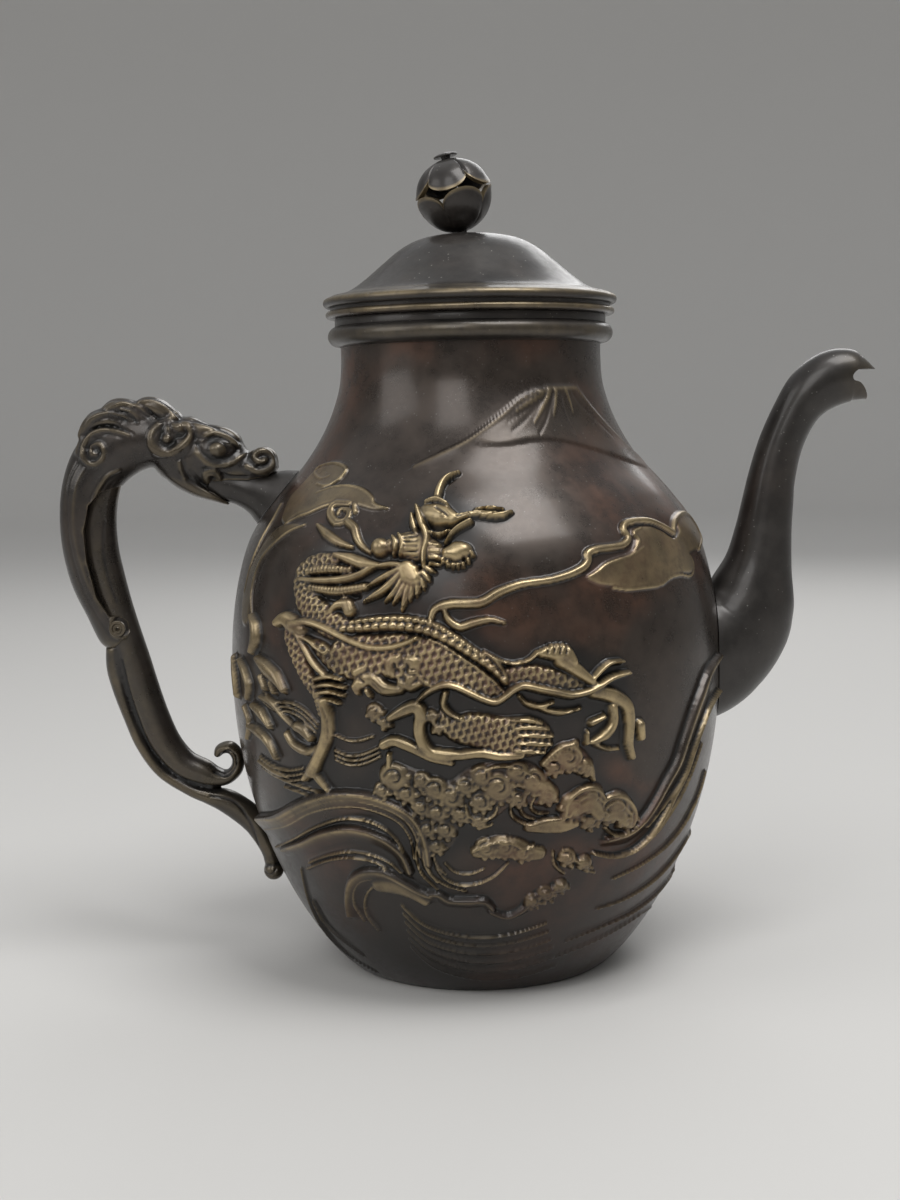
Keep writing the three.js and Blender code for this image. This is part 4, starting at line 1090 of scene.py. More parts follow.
def chase(made, strokes, camera, depth, strength):
    """Cuts and raises the strokes on both cheeks of a piece of the handle."""
    mesh = made.data
    points, normals = vertex_points(mesh), vertex_normals(mesh)
    flat = points * [1, 0, 1] + [0, depth, 0]
    front = np.tile([0.0, -1.0, 0.0], (len(flat), 1))
    relief = Relief(flat, front, lambda pixels: camera.on_plane(pixels, depth), camera.pixel_size)
    relief.lay_all(strokes)
    weight = smoothstep(0.12, 0.55, np.abs(normals[:, 1])) * strength
    set_points(mesh, points + normals * (relief.height * weight)[:, None])


# The handle: stations in millimetres at the side, strokes in pixels of the photograph

NECK_STATIONS = places("""
-96,175.5,10,10,9.5 -104,178,9.4,9.6,9.6 -110.5,178.6,10,10.6,9.2 -118,176.5,10.6,11,8.8 -125,170.3,10,10.6,8.6
-129.2,162,9.2,9.6,8.4 -130.3,152.5,9.3,9.6,8.2 -129.7,142,9.3,9.6,8 -127.6,131.5,9,9.2,7.8 -124.4,121.5,8,7.9,7.6
-121.2,112.5,7.2,7,7.2 -119.9,109,4.8,4.6,5
""")
SKULL_STATIONS = places("""
-103,177.6,9.4,9.6,9.2 -98,175.2,11.6,11.8,10 -91,173.2,10.6,10.6,9.8 -85,172,10.4,9.8,9 -80.5,169.8,8.2,7.6,7.9
-76.5,168.6,5.8,6,7.2 -72,168.5,4.8,4.8,6.8 -68,168.9,4,3.4,5.6 -65.8,168.9,1.6,1.6,3
""")
JAW_STATIONS = (
    (-103, 168.6, 3, 3, 6), (-98, 165.4, 4, 3.8, 7.2), (-93, 161.8, 3.4, 3, 6.6), (-87.5, 159.2, 2.4, 2, 5.6),
    (-82.2, 156.6, 0.9, 0.9, 2.6),
)
MANE_LOCKS = (
    ((-98, 183.6, 1.4), (-104, 188.2, 2.4), (-109, 189.8, 2.3), (-113.4, 188.4, 1.1)),
    ((-104.5, 181.6, 1.6), (-112.8, 187.4, 2.8), (-119.4, 189, 2.6), (-124.6, 186.4, 1.1)),
    ((-112.6, 182.2, 1.6), (-120.4, 185.4, 2.8), (-126.8, 184.4, 2.8), (-131.2, 179.4, 1.2)),
    ((-112.4, 177.6, 1.6), (-121.6, 180.6, 2.6), (-128, 178.8, 2.8), (-131.8, 173.6, 1.6)),
)
BAR_STATIONS = places("""
-122.8,165.4,4.6,4.6,4.4 -125.6,158.4,5.6,5.6,5.4 -127,150,6.2,6.2,5.8 -126.6,141,6.3,6.3,6 -124.6,131.5,6.1,6.1,6
-122,122,5.7,5.7,6 -119.4,113,5.6,5.6,6 -116.4,103,5.6,5.6,6 -113.6,93,5.6,5.6,6 -110.4,83,5.6,5.6,5.9
-106.2,74,5.3,5.3,5.8 -100.6,67.4,5,5,5.7 -94,64.2,4.6,4.6,5.6 -89.6,62.6,3.4,3.4,5.4 -85.6,62.6,2.4,2.4,5.2
-82.6,65.4,2.2,2.2,5 -82.1,69.6,2.1,2.1,4.8 -84.6,72.8,2,2,4.6 -88,72.2,1.8,1.8,4.4 -89.2,70,1.2,1.2,4
""")
TENDRIL_STATIONS = places("""
-121.6,108,4.4,4.4,4.8 -122.4,101,3.6,3.6,4.6 -121.3,93.4,2.8,2.8,4.4 -118.6,84.5,2.4,2.4,4.2 -114.6,74.2,2.3,2.3,4.2
-108.2,65,2.3,2.3,4.3 -98.8,58.8,2.5,2.5,4.6 -92.2,56.2,3.1,3.1,5 -85.6,53.6,4.2,4.2,5.2
""")
TENDRIL_ON_SKIN = ((48, 4.4, 4.4, 5.2), (42, 2.9, 3.5, 4.8), (36.5, 2.7, 3, 4.2), (32.6, 3.8, 2.7, 3.8))
TENDRIL_CURL = (29.6, 4.8, 3.3, 3.6)
LUG_STATIONS = (
    (-88, 164.6, 5, 5, 5), (-84, 163.3, 5.6, 5.6, 5.4), (-78, 161.6, 6, 6, 5.6), (-72.5, 159.8, 7.8, 7.8, 7),
    (-67, 157.4, 10.8, 10.8, 9), (-59, 154, 14, 14, 12),
)
SHEATH_EDGE = places("""
-118.6,163.2 -124.6,161.2 -128.6,157 -130.6,148.3 -130,138.1 -127.2,126 -123.2,119.4 -119.4,119.4 -117,117.4
-116.6,114 -118.4,110.6 -118.8,104 -104,104 -104,163
""")
# Y of the upright planes on which the handle's strokes are drawn
HEAD_CHEEK = -8.0
BAR_CHEEK = -5.0
SHEATH_PIN = (-120.4, 115.4)
SHEATH_PIN_REACH = 7.2
SHEATH_PIN_PROUD = 1.3
SHEATH_PIN_RADIUS = 1.5

HEAD_STROKES = strokes("""
band 1.1|5 8 8 6.5 4|174,415 187,414 206,423 224,425 238,437
rope 1.3|2 2.6 2.4 1.6|201,441 211,434 225,436 238,446
groove 1.3|2.2 2.6 2.2|198,444 204,438 216,437 230,441 237,449
groove 1|2 2.2 2|198,444 204,453 216,459 229,457 237,450
swell 1.6|9 9|218,449 221,450
groove 0.5|2 2|221,449 222,450
rope 0.9|1.6 2.6 2.4 1.6|198,453 207,463 219,466 232,463 243,455 251,451
rope 1.5|2.4 3.6 3.4 3 2|246,466 258,472 270,469 275,460 269,452 259,451 254,457 259,462 264,461
groove 1.2|1.8 1.8|256,467 266,465 270,459 265,455 259,457
rope 1|2 3 2|276,470 262,479 246,483 231,484 218,480
groove 1.1|1.8 2.4 1.6|246,477 230,477 216,472 204,468
hollow 1.3|3 4 3|206,481 206,474 213,472 218,477 214,483
rope 1|2 2.2 1.2|212,486 221,493 232,501
groove 0.9|1.6 1.6 1|207,489 217,497 228,503
groove 0.8|1.6 1.4|191,470 200,484 211,492
rope 0.9|2 2|180,462 181,470 184,479
groove 0.8|1.8 1.8|184,460 185,470 189,478
band 1.1|3 3.6 3.8 3.8 3.4 2.6|176,417 163,422 153,431 151,442 157,451 168,454 179,449 189,439 190,429 \
182,420
groove 1.7|3.6 4.4 3.6|163,432 161,441 168,446 175,441
swell 1.7|6 6|180,427 181,428
swell 1.4|4.6 4.6|168,439 169,440
groove 1.3|2.4 2|176,437 183,437 187,432
groove 0.9|2 2|170,424 174,431 182,434
groove 0.9|1.6 1.6|192,424 195,438 190,452 178,460
groove 1.3|1 2 1.6 1|137,405 147,410 157,420 161,423
rope 0.9|1 2 1.4|137,402 152,401 166,408 172,414
rope 0.9|1 2 2 1|106,410 121,403 138,407 150,416 158,422
groove 1.3|1 2.2 2 1|104,414 116,412 128,414 137,423
rope 0.9|1 2 2 1|82,432 90,419 105,413 120,415 132,421
groove 1.3|1 2.2 2 1|84,437 94,429 108,426 122,429 133,435
rope 0.9|1 2.2 2.2 1|82,446 88,436 100,430 116,431 131,435
groove 0.6|0.8 1.4 0.8|112,407 126,408 140,415
groove 0.6|0.8 1.4 0.8|92,423 106,418 121,421
groove 0.6|0.8 1.4 0.8|95,436 108,434 122,437
rope 1.4|2 3 3 3 2.4 1.6|88,437 83,447 84,458 92,464 101,460 104,451 99,444 92,446 91,453 96,455
groove 1.3|1.6 2 1.6|88,448 88,457 95,461 101,455 99,448
groove 0.5|1.4 1.8 1.6|80,460 68,481 66,513 69,546 80,584 96,616 110,634
rope 0.35|2 2.4 2|88,466 77,484 73,513 76,545 87,582 102,612
rope 1.1|2 2.6 2.4|118,470 106,477 95,495 90,515 90,538 95,563 103,594 110,614
groove 0.35|1.6 1.6|112,483 100,502 96,520 97,545 103,572 111,598
rope 1.2|2.4 2.4|111,622 113,634 122,638 131,632 132,621 124,614 114,616 111,622
""")
BRANCH_STROKES = strokes("""
groove 1|1.6 2.2 2 1.4|122,660 128,690 136,716 150,750 174,775 202,786 224,787
groove 0.25|1.6 1.6|105,520 103,545 108,575 117,602
rope 0.7|2 2.6 2|150,640 158,670 166,700 178,728 196,748
groove 1|1.6 1.6|214,772 226,776 235,768 236,756 228,751 221,756
groove 0.6|1.2 1.6 1.2|210,796 234,802 250,822 258,846
groove 0.9|1.4 1.4|262,862 262,872 270,876 276,870
""")


# Shader node groups, shared by the finishes

def new_group(name, **inputs):
    """An empty shader node group with an input socket for each default; spaces stand for underscores."""
    tree = bpy.data.node_groups.new(name, "ShaderNodeTree")
    for label, default in inputs.items():
        kind = "NodeSocketColor" if isinstance(default, tuple) else "NodeSocketFloat"
        socket = tree.interface.new_socket(label.replace("_", " "), in_out="INPUT", socket_type=kind)
        socket.default_value = (*default, 1) if isinstance(default, tuple) else default
    given = tree.nodes.new("NodeGroupInput")
    return tree, given.outputs, node(tree, "TexCoord").outputs["Object"]


def finish_group(tree, **sources):
    """Gives the group an output socket for each source and links them."""
    for label in sources:
        kind = "NodeSocketColor" if label == "Color" else "NodeSocketFloat"
        tree.interface.new_socket(label, in_out="OUTPUT", socket_type=kind)
    result = tree.nodes.new("NodeGroupOutput")
    for label, source in sources.items():
        tree.links.new(source, result.inputs[label])
    return tree


def node(tree, kind, links=(), **settings):
    """A node with its settings, and with sockets linked or set from (socket, source or value) pairs."""
    made = tree.nodes.new("ShaderNode" + kind)
    for key, value in settings.items():
        setattr(made, key, value)
    for socket, source in links:
        if isinstance(source, bpy.types.NodeSocket):
            tree.links.new(source, made.inputs[socket])
        else:
            made.inputs[socket].default_value = source
    return made


def noise(tree, place, scale, detail=4.0, roughness=0.55):
    return node(tree, "TexNoise", (("Vector", place), ("Scale", scale), ("Detail", detail),
                                   ("Roughness", roughness))).outputs["Fac"]


def between(tree, value, low, high, first=0.0, last=1.0):
    """The value mapped smoothly from low..high to first..last."""
    return node(tree, "MapRange", (("Value", value), ("From Min", low), ("From Max", high), ("To Min", first),
                                   ("To Max", last)), interpolation_type="SMOOTHSTEP").outputs["Result"]


def mixed(tree, factor, first, second, blend="MIX"):
    """Two colours mixed by a factor."""
    return node(tree, "Mix", ((0, factor), (6, first), (7, second)), data_type="RGBA", blend_type=blend).outputs[2]


def shaded(tree, tint, value):
    """The colour made lighter or darker by the value."""
    grey = node(tree, "CombineColor", ((0, value), (1, value), (2, value))).outputs[0]
    return mixed(tree, 1.0, tint, grey, "MULTIPLY")


def maths(tree, operation, first, second, clamp=False):
    return node(tree, "Math", ((0, first), (1, second)), operation=operation, use_clamp=clamp).outputs[0]


def product(tree, first, second, clamp=False):
    return maths(tree, "MULTIPLY", first, second, clamp)


def total(tree, first, *others):
    for other in others:
        first = maths(tree, "ADD", first, other)
    return first


def patina_group():
    """Ground colour of old patina: clouded, with patches of a second colour, and how rough it is."""
    tree, given, place = new_group("Old patina", Ground=(0.05, 0.03, 0.02), Patches=(0.1, 0.04, 0.02),
                                   Patch_amount=0.5, Roughness=0.3)
    large = noise(tree, place, 16.0, 3.0, 0.5)
    small = noise(tree, place, 95.0, 5.0, 0.62)
    fine = noise(tree, place, 620.0, 3.0, 0.6)
    patch = product(tree, between(tree, large, 0.47, 0.64), given["Patch amount"])
    patch = product(tree, patch, between(tree, small, 0.3, 0.62, 0.35, 1.0))
    ground = mixed(tree, patch, given["Ground"], given["Patches"])
    return finish_group(
        tree, Color=shaded(tree, ground, between(tree, small, 0.3, 0.7, 0.78, 1.22)),
        Roughness=total(tree, given["Roughness"], between(tree, small, 0.3, 0.7, -0.05, 0.07),
                        between(tree, fine, 0.35, 0.65, -0.02, 0.03)),
        Height=total(tree, product(tree, small, 0.7), product(tree, fine, 0.3)))


def rubbed_group():
    """What the hand has rubbed bright, and the dark of patina in hollows and of painted shade, laid over a ground."""
    tree, given, place = new_group("Rubbed relief", Ground=(0.05, 0.03, 0.02), Rubbed=(0.3, 0.2, 0.1),
                                   Recess=(0.01, 0.01, 0.01), Roughness=0.3, Rubbing=1.0)
    worn, deep = (node(tree, "Attribute", attribute_name=name).outputs["Fac"] for name in ("worn", "deep"))
    broken = between(tree, noise(tree, place, 210.0, 5.0, 0.7), 0.28, 0.6, 0.45, 1.0)
    worn = product(tree, product(tree, worn, broken), given["Rubbing"], clamp=True)
    tone = between(tree, noise(tree, place, 70.0, 3.0, 0.5), 0.3, 0.7, 0.72, 1.2)
    laid = mixed(tree, worn, given["Ground"], shaded(tree, given["Rubbed"], tone))
    # The dark colour goes where hollows and painted shade are marked.
    return finish_group(
        tree, Color=mixed(tree, deep, laid, given["Recess"]),
        Roughness=total(tree, given["Roughness"], product(tree, worn, 0.06), product(tree, deep, 0.08)),
        Metallic=maths(tree, "SUBTRACT", total(tree, product(tree, worn, 0.35), 0.6), product(tree, deep, 0.3), True))


def dust_group():
    """Fine specks of dust, more of them on what faces up."""
    tree, given, place = new_group("Dust specks", Color=(0.05, 0.03, 0.02), Dust=(0.3, 0.28, 0.25), Amount=0.5,
                                   Roughness=0.3)
    cells = node(tree, "TexVoronoi", (("Vector", place), ("Scale", 1300.0))).outputs
    size = between(tree, node(tree, "SeparateColor", ((0, cells["Color"]),)).outputs[0], 0.93, 1.0, 0.0, 0.34)
    speck = maths(tree, "LESS_THAN", cells["Distance"], size)
    up = node(tree, "SeparateXYZ", ((0, node(tree, "NewGeometry").outputs["Normal"]),)).outputs[2]
    film = product(tree, between(tree, up, 0.45, 1.0, 0.0, 0.16),
                   between(tree, noise(tree, place, 60.0, 4.0, 0.6), 0.35, 0.7))
    amount = total(tree, product(tree, speck, between(tree, up, -0.5, 0.8, 0.1, 0.75)), film)
    amount = product(tree, amount, given["Amount"], clamp=True)
    return finish_group(tree, Color=mixed(tree, amount, given["Color"], given["Dust"]),
                        Roughness=total(tree, given["Roughness"], product(tree, amount, 0.4)))


SHARED_GROUPS = {"Old patina": patina_group, "Rubbed relief": rubbed_group, "Dust specks": dust_group}


def bronze(slot):
    """The bronze finish of a slot, made of the shared groups the first time it is asked for."""
    finish = bpy.context.scene.ewer_finish
    name, ground, patches, patch_amount, rubbing, dust_amount, roughness, bump = {
        "body_bronze": ("Brown body patina", finish.brown, finish.russet, 0.7, 1.0, 0.4, finish.gloss, 0.1),
        "dark_bronze": ("Dark satin patina", finish.dark, finish.brown, 0.5, 0.16, 1.0, 0.38, 0.16),
        "handle_bronze": ("Handled brown patina", finish.dark, finish.brown, 0.7, 0.2, 0.4, 0.3, 0.1),
        "rubbed_bronze": ("Rubbed bead patina", finish.brown, finish.dark, 0.5, 1.0, 0.4, 0.3, 0.12),
    }[slot]
    if name in bpy.data.materials:
        return bpy.data.materials[name]
    made = bpy.data.materials.new(name)
    made.use_nodes = True
    tree = made.node_tree
    shader = tree.nodes["Principled BSDF"]
    patina, relief, dust = (
        node(tree, "Group", node_tree=bpy.data.node_groups.get(label) or SHARED_GROUPS[label]())
        for label in SHARED_GROUPS)
    rise = tree.nodes.new("ShaderNodeBump")
    for owner, values in (
            (patina, {"Ground": ground, "Patches": patches, "Patch amount": patch_amount, "Roughness": roughness}),
            (relief, {"Rubbed": finish.brass, "Recess": finish.recess_and_shade_colour, "Rubbing": rubbing}),
            (dust, {"Dust": finish.dust, "Amount": dust_amount}),
            (rise, {"Strength": bump, "Distance": 0.0004}),
            (shader, {"Coat Weight": 0.3, "Coat Roughness": 0.16})):
        for label, value in values.items():
            owner.inputs[label].default_value = value if isinstance(value, float) else (*value, 1)
    for source, output, target, socket in (
            (patina, "Color", relief, "Ground"), (patina, "Roughness", relief, "Roughness"),
            (relief, "Color", dust, "Color"), (relief, "Roughness", dust, "Roughness"),
            (dust, "Color", shader, "Base Color"), (dust, "Roughness", shader, "Roughness"),
            (relief, "Metallic", shader, "Metallic"), (patina, "Height", rise, "Height"),
            (rise, "Normal", shader, "Normal")):
        tree.links.new(source.outputs[output], target.inputs[socket])
    return made


def dress(made, body, slot, *nodes, finish=None):
    """Gives the piece its body and the slot's finish, or another's, and hides the CAD nodes that it stands for."""
    made.data.materials.clear()
    made.data.materials.append(bronze(finish or slot))
    for label in ("worn", "deep"):
        if label not in made.data.attributes:
            set_attribute(made.data, label, np.zeros(len(made.data.vertices)))
    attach(made, body)
    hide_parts(*nodes)


def band_wear(made, places):
    """Wear on a turned piece: each place is radius, height, reach and how bright it is there."""
    points = vertex_points(made.data)
    radius = np.hypot(points[:, 0], points[:, 1])
    worn = np.zeros(len(points))
    for r, z, reach, bright in places:
        near = 1 - np.clip(np.hypot(radius - r, points[:, 2] - z) / reach, 0, 1)
        worn = np.maximum(worn, bright * smoothstep(0, 0.8, near))
    set_attribute(made.data, "worn", worn)


# Operators

class EwerOperator:
    """What the operators share"""
    bl_options = {"REGISTER", "UNDO"}


class EWER_OT_body(EwerOperator, bpy.types.Operator):
    """Casts the body with its dragon, clouds, waves and mountain"""
    bl_idname = "ewer.body"
    bl_label = "Body and relief"

    def execute(self, context):
        body, stage = sizes("body", "stage")
        outline, turn = graded_outline(body), graded_turn(body)
        outer = swept(outline, turn)
        outward = swept(outline_normals(outline), turn)
        height, bright = body_relief(outer.reshape(-1, 3), outward.reshape(-1, 3), body, PhotoCamera(stage))
        height = blurred(height.reshape(outer.shape[:2]), 1) * body.relief
        height *= smoothstep(0, 5, outline[:, 1])[:, None]
        inner = swept(self.inside(outline, body), turn)
        points = np.concatenate([outer + outward * height[..., None], inner]).reshape(-1, 3)
        made = make_object("body_and_relief", points, grid_faces(len(outer) + len(inner), len(turn), True))
        wear_and_shade = self.wear_and_shade(height, bright.reshape(height.shape), outline[:, 1:])
        for label, values in zip(("worn", "deep"), wear_and_shade):
            set_attribute(made.data, label, np.append(values.ravel(), np.zeros(len(inner) * len(turn))))
        cut_by(made, make_object("cutter_pour_hole", *round_tube(
            [(x, 0, POUR_HOLE_HEIGHT) for x in (60, 80, 100)], [POUR_HOLE_RADIUS] * 3, 4, 48)))
        smooth_edges(made, sharp=75)
        dress(made, EWER, "body_bronze", "body_shell", "neck_shell")
        return {"FINISHED"}

    def inside(self, outline, body):
        """The inner outline from the neck down to the foot."""
        thin = spaced(outline[outline[:, 1] > LEDGE_TOP + 2], 3.0)
        inner = (thin - outline_normals(thin) * body.wall)[::-1]
        inner = inner[inner[:, 1] > LEDGE_TOP + 1]
        plate = body.foot_radius - body.foot_width
        ledge = plate - LEDGE_WIDTH
        return np.vstack([
            [(body.neck_radius - body.wall, body.neck_top)], inner,
            [(ledge, LEDGE_TOP), (ledge, PLATE_TOP + GAP), (plate, PLATE_TOP + GAP), (plate, 0.0)]])

    def wear_and_shade(self, height, bright, level):
        """Where the relief is rubbed bright, and where it is dark: patina in the gaps, and painted shade round the
        relief, at the roots of the scales and low down.
        """
        proud, fine = height - blurred(height, 26), height - blurred(height, 4)
        crowd = widely_blurred(height, 6, 14)
        worn = np.clip(bright, 0, 1) * (0.25 + 0.75 * smoothstep(-0.45, 0.25, proud)) * smoothstep(0.25, 0.8, height)
        worn = worn * (0.6 + 0.4 * smoothstep(-0.06, 0.08, fine))
        ground = 1 - smoothstep(0.15, 0.7, height)
        deep = np.maximum(smoothstep(0.1, 0.8, -proud), smoothstep(0.06, 0.28, -fine))
        # Painted shade on the bare ground that the relief crowds round.
        deep = np.maximum(deep, 0.85 * smoothstep(0.25, 1.0, crowd) * ground)
        # Painted shade: darker towards the bottom of the body, less so on rubbed relief.
        deep = np.maximum(deep, 0.75 * (1 - smoothstep(20, 76, level)) * (1 - 0.9 * worn))
        # Painted shadow at the roots of the scales, where the brightness is below nought.
        deep = np.maximum(deep, np.clip(-bright, 0, 1))
        return np.clip(worn, 0, 1), np.clip(deep, 0, 1)


def blurred(values, rounds):
    """A grid smoothed over its neighbours; its columns run round."""
    for _ in range(rounds):
        values = (values * 2 + np.roll(values, 1, 1) + np.roll(values, -1, 1)
                  + np.vstack([values[1:], values[-1:]]) + np.vstack([values[:1], values[:-1]])) / 6
    return values


def widely_blurred(values, block, rounds):
    """A grid smoothed over a wide reach, worked out on a coarser one."""
    rows, columns = values.shape
    coarse = blurred(values[::block, ::block], rounds)
    across, down = np.arange(columns) / block, np.arange(rows) / block
    wide = np.array([np.interp(across, np.arange(coarse.shape[1]), row) for row in coarse])
    return np.array([np.interp(down, np.arange(len(coarse)), column) for column in wide.T]).T


def inside_line(pixels, corners):
    """Which pixels lie inside the closed line."""
    inside = np.zeros(len(pixels), bool)
    for (x0, y0), (x1, y1) in zip(corners, np.roll(corners, -1, axis=0)):
        if y0 == y1:
            continue
        crosses = (y0 > pixels[:, 1]) != (y1 > pixels[:, 1])
        inside ^= crosses & (pixels[:, 0] < x0 + (pixels[:, 1] - y0) * (x1 - x0) / (y1 - y0))
    return inside


def foam_strokes():
    """Clumps of foam: each a smooth dome with a curl cut in it and bubbles along its lower rim."""
    dice = np.random.default_rng(FOAM_SEED)
    made = []
    for x, y, size in FOAM_CLUMPS:
        turn = dice.uniform(-0.5, 0.5)
        made.append(Stroke("rope", 2.6, (size, size), ((x - 0.1 * size, y - 0.1 * size), (x + 0.1 * size, y))))
        half = min(0.16 * size + 1.7, 3.9)
        count = max(int(math.pi * size / (2 * half)), 3)
        for k in range(count):
            around = turn + math.pi * (0.06 + 0.88 * k / (count - 1)) + dice.uniform(-0.06, 0.06)
            reach = 0.88 * size * dice.uniform(0.94, 1.04)
            spot = (x + reach * math.cos(around), y + reach * math.sin(around))
            wide = half * dice.uniform(0.85, 1.1)
            made.append(Stroke("rope", dice.uniform(2.3, 2.7), (wide, wide), (spot, (spot[0] + 0.4, spot[1] + 0.2))))
        turns = turn - 2.6 + np.linspace(0, 4.4, 8)
        for part, form, rise, wide in ((0.66, "groove", 1.0, 2.0), (0.42, "rope", 3.1, 1.9)):
            fade = np.linspace(part, 0.3 * part, 8) * size
            made.append(Stroke(form, rise, (1.0, wide, 1.2), tuple(
                (x + r * math.cos(a), y - 0.1 * size + r * math.sin(a)) for a, r in zip(turns, fade))))
    return made


def back_strokes():
    """The unseen far side: strokes through angles in degrees and heights, with half-widths in millimetres."""
    made = []

    def add(form, rise, half, angles, heights):
        made.append(Stroke(form, rise, half, tuple(zip(angles, heights))))

    for at, top, size in BACK_WAVES:
        for k in range(4):
            step = 5.0 * k
            form, rise, half = ("crest", 2.4, (4, 7, 6, 4)) if k == 0 else ("rope", 1.7, (0.35, 0.5, 0.35))
            add(form, rise, half,
                [at + a * size / 40 for a in (-26 + 0.3 * step, -15, -4, 6 - 0.4 * step, 13 - 0.8 * step)],
                [top + h - step for h in (-26, -12, -3, 0, -9)])
        curl = np.linspace(-0.5, 4.4, 8)
        add("rope", 2.4, (0.9, 1.2, 0.6), [at + size * 0.15 + 6.5 * (1 - t / 7) * math.cos(t) for t in curl],
            [top - 3 + 8.5 * (1 - t / 7) * math.sin(t) for t in curl])
    for level, lift in ((14, 1.2), (22, 1.3), (31, 1.5), (40, 1.6)):
        angles = np.linspace(4, 176, 44)
        add("rope", lift, (0.4, 0.55, 0.4), angles,
            [level + 2.6 * math.sin(math.radians(a) * 9 + level) for a in angles])
    for at, level, hand in BACK_CLOUDS:
        for x, z, turn in ((0, 0, 1.0), (11, 4, 0.8), (-10, 3, 0.7)):
            curl = np.linspace(0, 5.2, 10)
            add("hollow", 1.5, (1.0, 1.7, 0.9),
                [at + hand * (x + 7 * turn * (1 - t / 7.5) * math.cos(t)) for t in curl],
                [level + z + 7.5 * turn * (1 - t / 7.5) * math.sin(t) for t in curl])
        for rise, half, steps, drops in ((1.3, (0.5, 1.7, 1.6, 0.4), (-22, -8, 8, 24), (9, 7, 6, 10)),
                                         (1.1, (0.4, 1.2, 1.2, 0.4), (-14, -2, 10, 19), (14, 12, 12, 15))):
            add("band", rise, half, [at + hand * step for step in steps], [level - drop for drop in drops])
    return made


# How far, in mm, the camera may lie behind a point's own plane for the point to take the relief
TURNED_AWAY = -3.0


def body_relief(points, normals, body, camera):
    """Height and brightness of the relief at each point of the body's skin."""
    radius_at = skin_radius(body)
    height, bright = np.zeros(len(points)), np.zeros(len(points))
    seen = np.flatnonzero(np.einsum("ij,ij->i", normals, camera.place - points) > TURNED_AWAY)
    relief = Relief(points[seen], normals[seen], lambda pixels: camera.on_skin(pixels, radius_at), camera.pixel_size,
                    camera.pixels(points[seen]))
    for layer, shine in (
            (MOUNTAIN_AREA, 0.12), (UPPER_CLOUDS_AREAS, 0.6), (CLOUD_RIBBON_AREA, 0.8), (MOUNTAIN, 0.45),
            (UPPER_CLOUDS, 0.75), (CLOUD_RIBBON, 0.9), (WATER_LINES, 0.55), (RIGHT_WAVES, 0.7), (LEFT_WAVES, 0.75),
            (LOWER_WAVES, 0.7), (FOAM_BEDS, 0.1), (foam_strokes(), 0.58), (SEA_FOAM, 0.8), (LEFT_SPRAYS, 0.6),
            (DRAGON_AREAS, 0.95), (DRAGON_NECK, 0.85), (CLOUD_PAWS, 0.85), (DRAGON_FRONT_LEG, 0.9),
            (DRAGON_HIND_LEGS, 0.95), (DRAGON_BACK, 1.0), (DRAGON_RIBBONS, 1.0), (DRAGON_HEAD, 1.0),
            (DRAGON_MANE, 1.0)):
        relief.lay_all(layer, shine)
    height[seen], bright[seen] = relief.height, relief.bright

    def on_angles(line):
        angles, heights = np.radians(line[:, 0]), line[:, 1]
        radius = radius_at(heights)
        return np.column_stack([radius * np.cos(angles), radius * np.sin(angles), heights])

    far = np.flatnonzero(points[:, 1] > 4)
    relief = Relief(points[far], normals[far], on_angles, lambda line: np.ones(len(line)))
    relief.lay_all(back_strokes(), 0.5)
    raised = relief.height * smoothstep(4, 14, points[far, 1])
    keep = raised > height[far]
    height[far] = np.where(keep, raised, height[far])
    bright[far] = np.where(keep, relief.bright, bright[far])
    # Painted shade: the rubbed brightness fades towards the bottom.
    return height, np.where(bright > 0, bright * smoothstep(4, 50, points[:, 2]), bright)


class EWER_OT_spout(EwerOperator, bpy.types.Operator):
    """Draws the hollow gooseneck spout with its beak"""
    bl_idname = "ewer.spout"
    bl_label = "Spout"

    def execute(self, context):
        body, spout = sizes("body", "spout")
        stations = spout_stations(body, spout)
        made = solid_object("gooseneck_spout", [tube(stations, 150, 56)])
        inner = [(body.belly_radius - 0.6 * spout.reach, spout.root_height + 0.17 * spout.rise, 26, 27, 21), *stations]
        hollow = solid_object("cutter_hollow", [tube(inner, 120, 40, -spout.wall)])
        beak = slab("cutter_beak", [(body.belly_radius + u * spout.reach, spout.root_height + v * spout.rise)
                                    for u, v in smooth_line(BEAK[:9], 5).tolist() + list(BEAK[9:])], 15)
        smooth_edges(cut_by(made, hollow, beak, body_solid(body, GAP)), sharp=34)
        points = vertex_points(made.data)
        from_lip = np.hypot(points[:, 0] - stations[-1][0], points[:, 2] - stations[-1][1])
        set_attribute(made.data, "worn", 0.6 * (1 - smoothstep(2, 18, from_lip)))
        dress(made, EWER, "dark_bronze", "spout")
        return {"FINISHED"}


